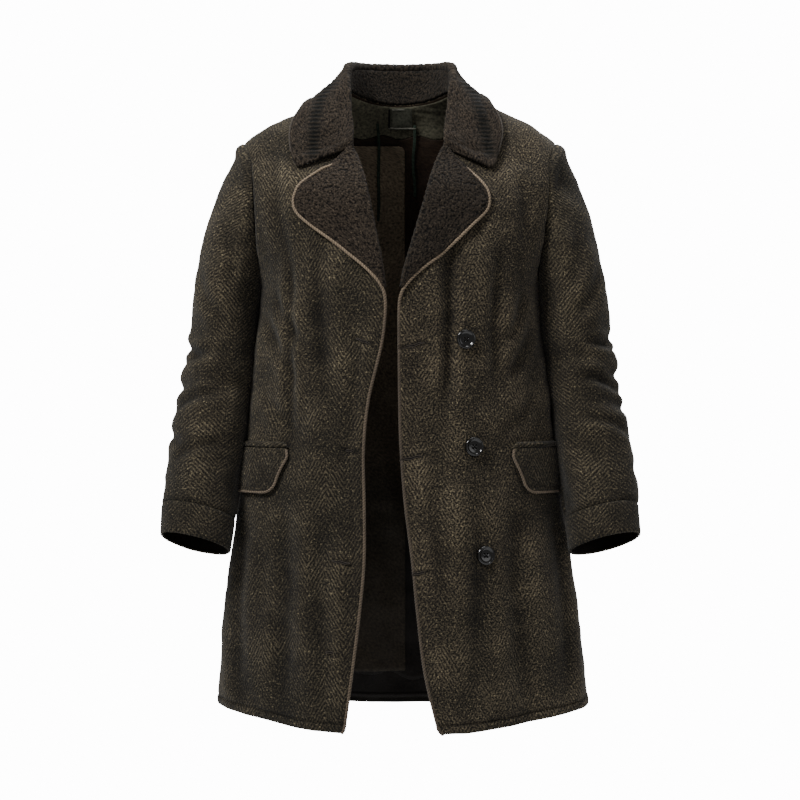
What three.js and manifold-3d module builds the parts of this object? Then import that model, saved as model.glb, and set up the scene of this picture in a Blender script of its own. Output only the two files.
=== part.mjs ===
// A double-layer tweed overcoat, worn open, with no wearer inside.
// Millimetres. +Z is up, the front faces -Y, and the origin is the middle of the neck opening at the nape seam.
// The wearer's left is +X. side is +1 on the wearer's left and -1 on the right.
import * as THREE from 'three';
import Module from 'manifold-3d';

const wool = 3;              // tweed wall
const doubled = 3.4;         // collar, lapels and flaps, two layers
const silk = 1;              // lining and tapes
const seamGap = 0.3;
const pipingRadius = 2.2;
const flapCord = 1.9;
const collarCord = 1.5;       // the collar edge's finer piping
const lapelRoll = 4.6;       // radius of the lapel's fold
const lapelLift = 4.6;       // how far its outer edge stands off the chest
const lapelStart = 0.075;     // share of its length left to the piping's turn at the break
const collarRoll = 5;
const cuffDeep = 48;
const hemCorner = 10;        // radius of the front corners
const gorge = 1.6;           // ring where the collar meets the lapel
const shoulder = 2;          // ring through the shoulder points
const underarm = 5;
const hem = 9;
const armholeFront = 16.5;   // degrees that the armhole reaches forward of the side seam
const armholeBack = 17;

// The body's rings from neck to hem. side, front and back are heights, right, left, fore and aft half-sizes.
const bodyRings = [
  { side: 17, front: -40, back: 0, right: 80, left: 80, fore: 55, aft: 65, square: 2 },
  { side: -20, front: -70, back: -25, right: 150, left: 150, fore: 72, aft: 82, square: 2.2 },
  { side: -69, front: -100, back: -70, right: 235, left: 235, fore: 84, aft: 100, square: 2.2 },
  { side: -140, front: -150, back: -140, right: 240, left: 240, fore: 118, aft: 119, square: 2.4 },
  { side: -210, front: -220, back: -210, right: 227, left: 227, fore: 136, aft: 127, square: 2.4 },
  { side: -286, front: -286, back: -286, right: 205, left: 205, fore: 146, aft: 129, square: 2.4 },
  { side: -430, front: -430, back: -430, right: 216, left: 216, fore: 149, aft: 130, square: 2.3 },
  { side: -600, front: -600, back: -600, right: 237, left: 237, fore: 155, aft: 142, square: 2.1 },
  { side: -755, front: -765, back: -765, right: 259, left: 263, fore: 163, aft: 155, square: 2 },
  { side: -900, front: -928, back: -926, right: 270, left: 282, fore: 170, aft: 165, square: 2 },
];

// Soft folds of the body: where (degrees from the front, ring), how far each way, and depth, a trough below 0.
const bodyFolds = [
  { turn: 41, spread: 6, ring: 4.6, reach: 1, depth: 5 },
  { turn: 26, spread: 6, ring: 5.4, reach: 1.5, depth: -4 },
  { turn: -45, spread: 7, ring: 4.7, reach: 1.2, depth: 4 },
  { turn: -28, spread: 7, ring: 5.6, reach: 1.4, depth: -3 },
  { turn: 104, spread: 12, ring: 6.5, reach: 1.5, depth: 10 },
  { turn: -104, spread: 12, ring: 6.5, reach: 1.5, depth: 10 },
  { turn: 33, spread: 8, ring: 8.8, reach: 1.9, depth: 6 },
  { turn: 56, spread: 7, ring: 9, reach: 1.6, depth: -5 },
  { turn: 76, spread: 8, ring: 9, reach: 2, depth: 5 },
  { turn: -40, spread: 8, ring: 9, reach: 1.8, depth: 5 },
  { turn: -60, spread: 8, ring: 9, reach: 1.8, depth: -5 },
  { turn: -79, spread: 8, ring: 9, reach: 2.1, depth: 5 },
  { turn: 122, spread: 9, ring: 9, reach: 2, depth: 7 },
  { turn: 146, spread: 9, ring: 9, reach: 2.3, depth: -6 },
  { turn: 171, spread: 10, ring: 9, reach: 2.4, depth: 6 },
  { turn: -163, spread: 9, ring: 9, reach: 1.9, depth: -6 },
  { turn: -139, spread: 10, ring: 9, reach: 2.2, depth: 7 },
  { turn: -115, spread: 8, ring: 9, reach: 1.8, depth: -5 },
  { turn: 128, spread: 8, ring: 4.6, reach: 1.3, depth: 4 },
  { turn: -131, spread: 8, ring: 4.4, reach: 1.4, depth: 4 },
];

// The front edges below the lapels, with their piping: height, and x on the wearer's right and left.
const frontEdges = [
  { z: -301, right: -17, left: -4 },
  { z: -365, right: -23, left: -4 },
  { z: -451, right: -43, left: -3 },
  { z: -522, right: -50, left: -1 },
  { z: -600, right: -49, left: 5 },
  { z: -680, right: -49, left: 15 },
  { z: -750, right: -55, left: 22 },
  { z: -840, right: -66, left: 33 },
  { z: -928, right: -78, left: 54 },
];

// The lapels from the break to the gorge: the fold that shows, and the outer edge with its piping.
const lapelRows = {
  right: [
    { foldX: -17, foldZ: -300, edgeX: -22, edgeZ: -301 },
    { foldX: -23, foldZ: -268, edgeX: -42, edgeZ: -272 },
    { foldX: -29, foldZ: -235, edgeX: -82, edgeZ: -238 },
    { foldX: -38, foldZ: -190, edgeX: -129, edgeZ: -202 },
    { foldX: -43, foldZ: -165, edgeX: -150, edgeZ: -182 },
    { foldX: -47, foldZ: -147, edgeX: -156, edgeZ: -165 },
    { foldX: -50, foldZ: -134, edgeX: -153, edgeZ: -149 },
    { foldX: -54, foldZ: -120, edgeX: -144, edgeZ: -135 },
    { foldX: -60, foldZ: -102, edgeX: -122, edgeZ: -120 },
    { foldX: -67, foldZ: -86, edgeX: -101, edgeZ: -106 },
  ],
  left: [
    { foldX: -4, foldZ: -300, edgeX: 1, edgeZ: -302 },
    { foldX: 4, foldZ: -268, edgeX: 23, edgeZ: -274 },
    { foldX: 14, foldZ: -235, edgeX: 68, edgeZ: -238 },
    { foldX: 27, foldZ: -190, edgeX: 111, edgeZ: -196 },
    { foldX: 33, foldZ: -170, edgeX: 127, edgeZ: -178 },
    { foldX: 38, foldZ: -152, edgeX: 131, edgeZ: -163 },
    { foldX: 42, foldZ: -138, edgeX: 128, edgeZ: -147 },
    { foldX: 46, foldZ: -124, edgeX: 118, edgeZ: -133 },
    { foldX: 53, foldZ: -104, edgeX: 106, edgeZ: -121 },
    { foldX: 61, foldZ: -86, edgeX: 94, edgeZ: -108 },
  ],
};

// The collar from the nape, past the neck's side at row 3, to the gorge. The fold at its top is a point.
// The middle of the fall and its edge are lifted off the body's form at a turn and ring.
const collarRows = [
  { foldX: 0, foldY: 77, foldZ: 62, midTurn: 180, midRing: 0, midLift: 29,
    edgeTurn: 180, edgeRing: 0.96, edgeLift: 8 },
  { foldX: 48, foldY: 66, foldZ: 62, midTurn: 142, midRing: 0.05, midLift: 27,
    edgeTurn: 145, edgeRing: 0.96, edgeLift: 8 },
  { foldX: 73, foldY: 28, foldZ: 57, midTurn: 108, midRing: 0.12, midLift: 21,
    edgeTurn: 110, edgeRing: 0.93, edgeLift: 8 },
  { foldX: 76, foldY: -5, foldZ: 38, midTurn: 85, midRing: 0.45, midLift: 12,
    edgeTurn: 87, edgeRing: 0.88, edgeLift: 8 },
  { foldX: 73, foldY: -44, foldZ: -18, midTurn: 65, midRing: 1.15, midLift: 9,
    edgeTurn: 75, edgeRing: 1.34, edgeLift: 8 },
  { foldX: 67, foldY: -81, foldZ: -80, midTurn: 53.5, midRing: 2.08, midLift: 7,
    edgeTurn: 61.6, edgeRing: 2.56, edgeLift: 6 },
];

// The sleeve below the armhole: each section's middle, half-sizes and slopes, forward and outward.
const sleeveSections = [
  { x: 261, y: -2, z: -330, wide: 50.5, deep: 72, pitch: 0, lean: 5 },
  { x: 273, y: -14, z: -430, wide: 52, deep: 66, pitch: 9, lean: 7 },
  { x: 285.5, y: -36, z: -520, wide: 55, deep: 59, pitch: 15, lean: 9 },
  { x: 295, y: -60, z: -600, wide: 55, deep: 53, pitch: 17, lean: 11 },
  { x: 300, y: -78, z: -660, wide: 53.5, deep: 50, pitch: 18, lean: 13 },
];

// The larger folds of each sleeve: degrees from the outer side towards the front, section, reach and depth.
const sleeveFolds = {
  right: [
    { turn: 60, spread: 60, section: 0.2, reach: 0.16, depth: -4 },
    { turn: 10, spread: 50, section: 0.55, reach: 0.14, depth: -4 },
    { turn: 120, spread: 45, section: 1.05, reach: 0.16, depth: -5 },
    { turn: 60, spread: 60, section: 1.6, reach: 0.2, depth: 3 },
    { turn: 190, spread: 50, section: 1.4, reach: 0.2, depth: -5 },
    { turn: 250, spread: 50, section: 0.7, reach: 0.2, depth: 4 },
  ],
  left: [
    { turn: 30, spread: 55, section: 0.25, reach: 0.14, depth: -5 },
    { turn: 100, spread: 55, section: 0.6, reach: 0.15, depth: -5 },
    { turn: 45, spread: 50, section: 1, reach: 0.16, depth: -4 },
    { turn: 80, spread: 60, section: 1.7, reach: 0.2, depth: 3 },
    { turn: 185, spread: 50, section: 1.3, reach: 0.2, depth: -5 },
    { turn: 255, spread: 50, section: 0.8, reach: 0.2, depth: 4 },
  ],
};

const flap = { front: 160, top: -522, high: 62, slant: 30, rear: 87, lift: 2.2, bottomLift: 4.5 };
const welt = { front: 170, top: -514, high: 6, rear: 87 };
const buttonRadius = 13.8;
const buttonThick = 4.6;
const buttonHole = 1.1;
const buttons = [
  { name: 'button_top', x: 94, z: -364 },
  { name: 'button_middle', x: 105, z: -518 },
  { name: 'button_low', x: 123, z: -674 },
];

const yokeDeep = 1.5;        // ring at the yoke's lower edge
const yokeWaves = 0.07;
const liningEnd = 8.74;
const liningPanel = { right: -112, left: 7, top: -58, corner: 9 };
const label = { x: 2, z: -17, wide: 34, high: 31 };
const tapes = [
  { name: 'tape_right', x: -35, top: -24, end: -172 },
  { name: 'tape_left', x: 23, top: -26, end: -134 },
];
const tapeWide = 5;
const liningDepth = wool + 4 * seamGap;
const overLining = liningDepth + silk + 2 * seamGap;
const panelDepth = overLining + 2 * seamGap;

const rad = THREE.MathUtils.degToRad;
const deg = THREE.MathUtils.radToDeg;
const mix = THREE.MathUtils.lerp;
const smooth = THREE.MathUtils.smoothstep;
const nameOf = (side) => (side > 0 ? 'left' : 'right');

// Numbers from 0 to 1 in equal steps.
function steps(count) {
  return Array.from({ length: count + 1 }, (_, i) => i / count);
}

// A smooth curve through values, at a place counted in values.
function curve(values, at) {
  const last = values.length - 1;
  const place = Math.min(Math.max(at, 0), last);
  const i = Math.min(Math.floor(place), last - 1);
  const t = place - i;
  const [b, c] = [values[i], values[i + 1]];
  const a = i > 0 ? values[i - 1] : 2 * b - c;
  const d = i + 2 <= last ? values[i + 2] : 2 * c - b;
  return b + 0.5 * t * (c - a + t * (2 * a - 5 * b + 4 * c - d + t * (3 * b - a - 3 * c + d)));
}

function rowAt(table, at) {
  const row = {};
  for (const name of Object.keys(table[0])) row[name] = curve(table.map((r) => r[name]), at);
  return row;
}

// The value of one column where another, falling down the table, reaches a height.
function columnAt(table, heights, column, z) {
  let [low, high] = [0, table.length - 1];
  const given = table.map((r) => r[heights]);
  const falls = given[0] > given[high];
  for (let i = 0; i < 30; i += 1) {
    const middle = (low + high) / 2;
    if ((curve(given, middle) > z) === falls) low = middle; else high = middle;
  }
  return curve(table.map((r) => r[column]), low);
}

function bump(distance, reach) {
  return Math.exp(-((distance / reach) ** 2));
}

function turnBetween(a, b) {
  return ((a - b + 540) % 360) - 180;
}

// The body's outer surface at a turn round from the front, in degrees, and a ring.
function bodyPoint(turn, ring) {
  const row = rowAt(bodyRings, ring);
  const s = Math.sin(rad(turn));
  const c = Math.cos(rad(turn));
  const half = s < 0 ? row.right : row.left;
  const deep = c > 0 ? row.fore : row.aft;
  const plain = ((Math.abs(s) / half) ** row.square + (Math.abs(c) / deep) ** row.square) ** (-1 / row.square);
  const folded = bodyFolds.reduce((sum, f) => (
    sum + f.depth * bump(turnBetween(turn, f.turn), f.spread) * bump(ring - f.ring, f.reach)), plain);
  const aside = Math.min((plain * s / half) ** 2, 1);
  return new THREE.Vector3(folded * s, -folded * c, mix(c > 0 ? row.front : row.back, row.side, aside));
}

function bodyNormal(turn, ring) {
  const up = Math.max(ring - 0.03, 0);
  const down = Math.min(ring + 0.03, hem);
  const across = bodyPoint(turn + 0.6, ring).sub(bodyPoint(turn - 0.6, ring));
  return bodyPoint(turn, down).sub(bodyPoint(turn, up)).cross(across).normalize();
}

// A place on the body with its normal, lifted off the surface.
function place(turn, ring, lift = 0) {
  const normal = bodyNormal(turn, ring);
  return { point: bodyPoint(turn, ring).addScaledVector(normal, lift), normal };
}

// The turn on a ring where the body meets a line x(z) at the front.
function turnWhere(ring, xOf) {
  let turn = 0;
  for (let i = 0; i < 14; i += 1) {
    const p = bodyPoint(turn, ring);
    turn += deg((xOf(p.z) - p.x) / Math.hypot(p.x, p.y));
  }
  return turn;
}

function ringWhere(turn, z) {
  let [low, high] = [0, hem];
  for (let i = 0; i < 24; i += 1) {
    const middle = (low + high) / 2;
    if (bodyPoint(turn, middle).z > z) low = middle; else high = middle;
  }
  return low;
}

// The turn and ring of the body's front, or its back, at x and z.
function bodyAt(x, z, back = false) {
  let turn = back ? 180 : 0;
  for (let i = 0; i < 12; i += 1) {
    const p = bodyPoint(turn, ringWhere(turn, z));
    turn += deg((x - p.x) / Math.hypot(p.x, p.y)) * (back ? -1 : 1);
  }
  return [turn, ringWhere(turn, z)];
}

// A closed wall of cloth on a grid of places, from above its surface to below it.
// round closes the grid on itself along each row.
function clothWall(grid, above, below, round = false) {
  const rows = grid.length;
  const columns = grid[0].length;
  const positions = [];
  for (const height of [above, -below]) {
    for (const { point, normal } of grid.flat()) {
      positions.push(...point.clone().addScaledVector(normal, height).toArray());
    }
  }
  const at = (layer, i, j) => layer * rows * columns + i * columns + (j % columns);
  const faces = [];
  const quad = (a, b, c, d) => faces.push(a, b, c, a, c, d);
  const spans = round ? columns : columns - 1;
  for (let j = 0; j < spans; j += 1) {
    for (let i = 0; i < rows - 1; i += 1) {
      quad(at(0, i, j), at(0, i + 1, j), at(0, i + 1, j + 1), at(0, i, j + 1));
      quad(at(1, i, j), at(1, i, j + 1), at(1, i + 1, j + 1), at(1, i + 1, j));
    }
    quad(at(0, 0, j), at(0, 0, j + 1), at(1, 0, j + 1), at(1, 0, j));
    quad(at(0, rows - 1, j), at(1, rows - 1, j), at(1, rows - 1, j + 1), at(0, rows - 1, j + 1));
  }
  for (let i = 0; i < rows - 1 && !round; i += 1) {
    quad(at(0, i, 0), at(1, i, 0), at(1, i + 1, 0), at(0, i + 1, 0));
    quad(at(0, i, spans), at(0, i + 1, spans), at(1, i + 1, spans), at(1, i, spans));
  }
  return closedGeometry(positions, faces);
}

// Turns the faces outward where the volume comes out negative.
function closedGeometry(positions, faces) {
  const corner = (i) => new THREE.Vector3().fromArray(positions, 3 * i);
  let volume = 0;
  for (let i = 0; i < faces.length; i += 3) {
    volume += corner(faces[i]).dot(corner(faces[i + 1]).cross(corner(faces[i + 2])));
  }
  const geometry = new THREE.BufferGeometry();
  geometry.setAttribute('position', new THREE.Float32BufferAttribute(positions, 3));
  geometry.setIndex(volume > 0 ? faces : faces.reverse());
  geometry.computeVertexNormals();
  return geometry;
}

// Gives a grid of points its normals, from the points beside each one.
function withNormals(points, round = false) {
  const rows = points.length;
  const columns = points[0].length;
  return points.map((row, i) => row.map((point, j) => {
    const before = round ? (j + columns - 1) % columns : Math.max(j - 1, 0);
    const after = round ? (j + 1) % columns : Math.min(j + 1, columns - 1);
    const along = points[Math.min(i + 1, rows - 1)][j].clone().sub(points[Math.max(i - 1, 0)][j]);
    const normal = along.cross(row[after].clone().sub(row[before])).normalize();
    return { point, normal };
  }));
}

// The panels' limits: the opening at the front, and the shoulder, armhole and side seams.
function foldLine(side, z) {
  return columnAt(lapelRows[nameOf(side)], 'foldZ', 'foldX', z);
}

function frontEdge(side, z) {
  const low = frontEdges[frontEdges.length - 1].z;
  const corner = Math.max(hemCorner - (z - low), 0);
  const cut = hemCorner - Math.sqrt(Math.max(hemCorner ** 2 - corner ** 2, 0));
  return columnAt(frontEdges, 'z', nameOf(side), z) + side * cut;
}

function openingTurn(side, ring, inset) {
  if (ring <= gorge) {
    const start = openingTurn(side, gorge + 0.001, inset);
    return mix(side * 90, start, (ring / gorge) ** 0.8);
  }
  const breakZ = lapelRows.right[0].foldZ;
  const foldInset = lapelRoll + doubled / 2 + seamGap - 2 * pipingRadius;
  return turnWhere(ring, (z) => {
    const edge = z > breakZ ? foldLine(side, z) : frontEdge(side, z);
    return edge + side * (inset + foldInset * smooth(z, breakZ - 12, breakZ + 20));
  });
}

// How far the armhole reaches from the side seam on a ring, as a share of its reach at the middle.
function armholeOpen(ring) {
  const up = (shoulder + underarm - 2 * ring) / (underarm - shoulder);
  return Math.abs(up) < 1 ? (1 - up * up) ** 0.4 : 0;
}

// The shoulder and side seams, on the front's or the back's side.
function seamTurn(side, ring, back) {
  const gap = deg(seamGap / 2 / bodyPoint(side * 90, ring).length()) * (ring < shoulder ? 1.5 : 1);
  return side * (90 + (back ? gap : -gap));
}

const topRings = [0.3, 0.7, 1.15, gorge + 0.01, 1.8];
const armRings = steps(10).map((t) => mix(shoulder, underarm, (1 - Math.cos(Math.PI * t)) / 2));
const skirtRings = [5.08, 5.16, 5.4, 5.7, 6.05, 6.4, 6.75, 7.1, 7.5, 7.9, 8.3, 8.65];

// Only the columns near the armhole give way to it.
function frontGrid(side) {
  const rings = [0.04, ...topRings, ...armRings, ...skirtRings, 8.94, 8.98, hem];
  return rings.map((ring) => {
    const from = openingTurn(side, ring, 2 * pipingRadius + seamGap);
    const to = seamTurn(side, ring, false);
    const open = side * armholeFront * armholeOpen(ring);
    return steps(10).map((t) => place(mix(from, to, t) - open * smooth(t, 0.4, 1), ring));
  });
}

const backRings = [0, ...topRings, ...armRings, ...skirtRings.slice(2), hem];
const backColumns = 20;

function backTurn(ring, t) {
  const across = mix(seamTurn(1, ring, true), 360 + seamTurn(-1, ring, true), t);
  const open = armholeBack * armholeOpen(ring);
  return across + open * (smooth(1 - t, 0.7, 1) - smooth(t, 0.7, 1));
}

const backGrid = backRings.map((ring) => steps(backColumns).map((t) => place(backTurn(ring, t), ring)));

// A place on the back panel's flat facets at a turn and ring, so that what lies on it keeps its distance.
function onBack(turn, ring, depth) {
  const i = Math.min(Math.max(backRings.findIndex((r) => r > ring) - 1, 0), backRings.length - 2);
  const t = (ring - backRings[i]) / (backRings[i + 1] - backRings[i]);
  const turns = steps(backColumns).map((c) => mix(backTurn(backRings[i], c), backTurn(backRings[i + 1], c), t));
  const j = Math.min(Math.max(turns.findIndex((edge) => edge > turn) - 1, 0), backColumns - 1);
  const across = Math.max(turn - turns[j], 0) / (turns[j + 1] - turns[j]);
  const join = (key) => {
    const along = (row) => row[j][key].clone().lerp(row[j + 1][key], across);
    return along(backGrid[i]).lerp(along(backGrid[i + 1]), t);
  };
  const normal = join('normal').normalize();
  return { point: join('point').addScaledVector(normal, -depth), normal };
}

// The sleeve. Its turn starts at the outer side and goes round by the front.
function armholePoint(side, turn) {
  const s = Math.sin(turn);
  const ring = (shoulder + underarm) / 2 - (underarm - shoulder) / 2 * Math.cos(turn);
  const open = (s > 0 ? -armholeFront : armholeBack) * Math.abs(s) ** 0.8;
  return bodyPoint(side * (90 + open), ring);
}

function sleeveSection(side, turn, at) {
  const row = rowAt(sleeveSections, at);
  const fold = sleeveFolds[nameOf(side)].reduce((sum, f) => (
    sum + f.depth * bump(turnBetween(deg(turn), f.turn), f.spread) * bump(at - f.section, f.reach)), 0);
  const outward = new THREE.Vector3(side * Math.cos(rad(row.lean)), 0, Math.sin(rad(row.lean)));
  const forward = new THREE.Vector3(0, -Math.cos(rad(row.pitch)), Math.sin(rad(row.pitch)));
  return new THREE.Vector3(side * row.x, row.y, row.z)
    .addScaledVector(outward, (row.wide + fold) * Math.cos(turn))
    .addScaledVector(forward, (row.deep + fold) * Math.sin(turn));
}

// at runs from -1 at the armhole to 0 at the first section, and then counts sections.
function sleevePoint(side, turn, at) {
  if (at >= 0) return sleeveSection(side, turn, at);
  const start = armholePoint(side, turn);
  const end = sleeveSection(side, turn, 0);
  const far = start.distanceTo(end);
  const leave = new THREE.Vector3(side * (0.5 + 0.35 * Math.cos(turn)), 0, -0.75 + 0.15 * Math.cos(turn)).normalize();
  const arrive = sleeveSection(side, turn, 0.1).sub(end).normalize();
  start.addScaledVector(leave, 3 * seamGap);
  const path = new THREE.CubicBezierCurve3(
    start, start.clone().addScaledVector(leave, 0.13 * far), end.clone().addScaledVector(arrive, -0.42 * far), end);
  return path.getPoint(at + 1);
}

function sleeveWall(side, places, wall) {
  const points = places.map((at) => (
    steps(20).slice(1).map((t) => sleevePoint(side, 2 * Math.PI * t, at))));
  const grid = withNormals(points, true);
  const outward = grid[0][0].normal.x * side > 0 ? 1 : -1;
  for (const { normal } of grid.flat()) normal.multiplyScalar(outward);
  return clothWall(grid, 0, wall, true);
}

const lastSection = sleeveSections.length - 1;
const sleeveEnd = sleeveSections.slice(-2);
const endLength = Math.hypot(...['x', 'y', 'z'].map((axis) => sleeveEnd[1][axis] - sleeveEnd[0][axis]));
const cuffSeam = lastSection - cuffDeep / endLength;
const sleeveGap = seamGap / endLength;

function sleeve(side) {
  const cap = [-1, -0.88, -0.72, -0.52, -0.32, -0.15];
  const arm = [0, 0.2, 0.4, 0.6, 0.85, 1.05, 1.3, 1.6, 1.95, 2.4, 2.85];
  return sleeveWall(side, [...cap, ...arm, cuffSeam - sleeveGap], wool);
}

function cuff(side) {
  const places = steps(3).map((t) => mix(cuffSeam, lastSection, t));
  return sleeveWall(side, places, wool);
}

// The lapel: round its fold, then out over the chest. across runs from 0 at the panel to 1 at the fold's end,
// and to 2 at the outer edge.
function lapelPlace(side, along, across) {
  const rows = lapelRows[nameOf(side)];
  const reach = lapelRoll + doubled / 2 + seamGap;
  const at = along * (rows.length - 1);
  const start = (spot) => {
    const row = rowAt(rows, spot);
    return place(...bodyAt(row.foldX + side * reach, row.foldZ), -wool / 2);
  };
  const { point, normal } = start(at);
  const radius = mix(0.55, 1, smooth(along, 0, 0.15)) * lapelRoll;
  const slope = start(Math.min(at + 0.2, rows.length - 1)).point.sub(start(Math.max(at - 0.2, 0)).point);
  const outward = slope.cross(normal).normalize();
  if (outward.x * side > 0) outward.negate();
  if (across <= 1) {
    const turn = Math.PI * across;
    point.addScaledVector(outward, 4 * seamGap + radius * Math.sin(turn))
      .addScaledVector(normal, radius * (1 - Math.cos(turn)));
    return { point, normal: normal.multiplyScalar(-Math.cos(turn)).addScaledVector(outward, Math.sin(turn)) };
  }
  const flat = across - 1;
  const inner = new THREE.Vector2(point.x, point.z);
  const outer = lapelEdge(rows, side, at, 2 * pipingRadius + seamGap);
  const spot = inner.lerp(outer, flat);
  const lift = mix(2 * radius - wool / 2, lapelLift, smooth(flat, 0, 1));
  return place(...bodyAt(spot.x, spot.y), lift);
}

// The lapel's outer edge seen from the front, drawn in square to itself.
function lapelEdge(rows, side, at, inset) {
  const row = rowAt(rows, at);
  const before = rowAt(rows, Math.max(at - 0.3, 0));
  const after = rowAt(rows, Math.min(at + 0.3, rows.length - 1));
  const run = new THREE.Vector2(after.edgeX - before.edgeX, after.edgeZ - before.edgeZ).normalize();
  return new THREE.Vector2(row.edgeX - side * run.y * inset, row.edgeZ + side * run.x * inset);
}

function lapelGrid(side) {
  const across = [...steps(4), ...steps(5).slice(1).map((t) => 1 + t)];
  return steps(14).map((t) => across.map((a) => lapelPlace(side, mix(lapelStart, 1, t), a)));
}

// The neck seam: along counts the collar's rows from the nape, below 0 on the wearer's right.
function neckSeam(along) {
  const side = along < 0 ? -1 : 1;
  const spot = Math.abs(along);
  if (spot <= 3) return place(side * (180 - 30 * spot), 0, -wool / 2);
  const ring = gorge * ((spot - 3) / 2) ** 1.3;
  return place(openingTurn(side, ring, 2 * pipingRadius + seamGap), ring, -wool / 2);
}

// One line of the collar, from the neck seam over the fold to the edge.
function collarLine(along) {
  const side = along < 0 ? -1 : 1;
  const row = rowAt(collarRows, Math.abs(along));
  const last = collarRows.length - 1;
  const { point: base, normal } = neckSeam(along);
  const run = neckSeam(Math.min(along + 0.1, last)).point.sub(neckSeam(Math.max(along - 0.1, -last)).point);
  base.addScaledVector(run.cross(normal).normalize(), 7 * seamGap + doubled / 2);
  const drawnIn = side > 0 ? 1 - 0.06 * smooth(Math.abs(along), 3, last) : 1;
  const fold = new THREE.Vector3(side * row.foldX * drawnIn, row.foldY, row.foldZ);
  const spot = Math.abs(along);
  const slim = side > 0 ? 1 - 0.18 * smooth(spot, 1.5, 2.6) * smooth(4.4 - spot, 0, 1.2) : 1;
  const middle = place(side * row.midTurn * drawnIn, row.midRing * slim, row.midLift).point;
  const edge = place(side * row.edgeTurn * drawnIn, row.edgeRing * slim, row.edgeLift).point;
  const up = fold.clone().sub(base).normalize();
  const out = middle.clone().sub(fold);
  out.addScaledVector(up, -out.dot(up)).normalize();
  const radius = Math.min(collarRoll, 0.5 * fold.distanceTo(base));
  const inside = fold.clone().addScaledVector(up, -radius);
  const top = fold.clone().addScaledVector(out, radius);
  const outside = inside.clone().addScaledVector(out, 2 * radius);
  const stand = base.clone().lerp(inside, 0.5);
  return new THREE.CatmullRomCurve3([base, stand, inside, top, outside, middle, edge]).getPoints(12);
}

function collarGrid() {
  const last = collarRows.length - 1;
  return withNormals(steps(24).map((t) => collarLine(mix(-last, last, t))));
}

// A round cord along places.
function cord(path, radius) {
  const around = steps(6).slice(1).map((t) => 2 * Math.PI * t);
  const positions = [];
  path.forEach(({ point, normal }, i) => {
    const ahead = runOf(path, i);
    const aside = ahead.clone().cross(normal).normalize();
    const up = aside.clone().cross(ahead);
    for (const turn of around) {
      positions.push(...point.clone().addScaledVector(aside, radius * Math.cos(turn))
        .addScaledVector(up, radius * Math.sin(turn)).toArray());
    }
  });
  const sides = around.length;
  const first = path.length * sides;
  positions.push(...path[0].point.toArray(), ...path[path.length - 1].point.toArray());
  const faces = [];
  for (let j = 0; j < sides; j += 1) {
    const next = (j + 1) % sides;
    for (let i = 0; i < path.length - 1; i += 1) {
      const [a, b, c, d] = [i * sides + j, i * sides + next, (i + 1) * sides + next, (i + 1) * sides + j];
      faces.push(a, b, c, a, c, d);
    }
    faces.push(first, next, j, first + 1, first - sides + j, first - sides + next);
  }
  return closedGeometry(positions, faces);
}

// The direction of a path of places at one of them.
function runOf(path, i) {
  const ahead = path[Math.min(i + 1, path.length - 1)].point;
  return ahead.clone().sub(path[Math.max(i - 1, 0)].point).normalize();
}

// A path beside an edge, on the side away from the places next to it, and moved along the normal.
function pastEdge(edge, inner, distance, lift = 0) {
  const away = (i) => runOf(edge, i).cross(edge[i].normal).dot(edge[i].point.clone().sub(inner[i].point));
  const hand = Math.sign(edge.reduce((sum, _, i) => sum + away(i), 0));
  return edge.map(({ point, normal }, i) => {
    const out = runOf(edge, i).cross(normal).multiplyScalar(hand);
    return { point: point.clone().addScaledVector(out, distance).addScaledVector(normal, lift), normal };
  });
}

function frontPiping(side) {
  const out = pipingRadius + seamGap;
  const rows = frontGrid(side).filter((row) => row[0].point.z < lapelRows.right[0].foldZ - 1).reverse();
  const edge = pastEdge(rows.map((row) => row[0]), rows.map((row) => row[1]), out, -wool / 2);
  const flat = lapelGrid(side);
  const turned = pastEdge(flat.map((row) => row.at(-1)), flat.map((row) => row.at(-2)), out);
  const [low, high] = [edge.at(-1).point, turned[0].point];
  const far = low.distanceTo(high);
  const turning = new THREE.CubicBezierCurve3(
    low, low.clone().addScaledVector(runOf(edge, edge.length - 1), 0.4 * far),
    high.clone().addScaledVector(runOf(turned, 0), -0.5 * far), high);
  const between = steps(6).slice(1, -1).map((t) => {
    const { x, z } = turning.getPoint(t);
    return place(...bodyAt(x, z), mix(-wool / 2, lapelLift, smooth(t, 0, 0.5)));
  });
  return cord([...edge, ...between, ...turned], pipingRadius);
}

function collarPiping() {
  const grid = collarGrid();
  const path = pastEdge(grid.map((row) => row.at(-1)), grid.map((row) => row.at(-2)), collarCord + seamGap);
  return cord(path, collarCord);
}

// Pocket flaps, each hanging from a welt. down runs from 0 at the flap's top to 1 at its lower edge.
function flapGrid(side) {
  return steps(6).map((down) => {
    const z = flap.top - flap.high * down;
    const [front] = bodyAt(side * (flap.front + flap.slant * down ** 1.6), z);
    return steps(8).map((across) => {
      const turn = mix(front, side * flap.rear, across);
      return place(turn, ringWhere(turn, z), mix(flap.lift, flap.bottomLift, down));
    });
  });
}

function flapPiping(side) {
  const grid = flapGrid(side);
  const edge = [...grid.map((row) => row[0]), ...grid.at(-1).slice(1)];
  const inner = [...grid.slice(0, -1).map((row) => row[1]), grid.at(-2)[1], ...grid.at(-2).slice(1)];
  return cord(pastEdge(edge, inner, flapCord + seamGap), flapCord);
}

function weltWall(side) {
  const grid = steps(2).map((down) => {
    const z = welt.top - welt.high * down;
    const [front] = bodyAt(side * welt.front, z);
    return steps(8).map((across) => {
      const turn = mix(front, side * welt.rear, across);
      return place(turn, ringWhere(turn, z), seamGap);
    });
  });
  return clothWall(grid, wool, 0);
}

const wasm = await Module();
wasm.setup();

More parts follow.
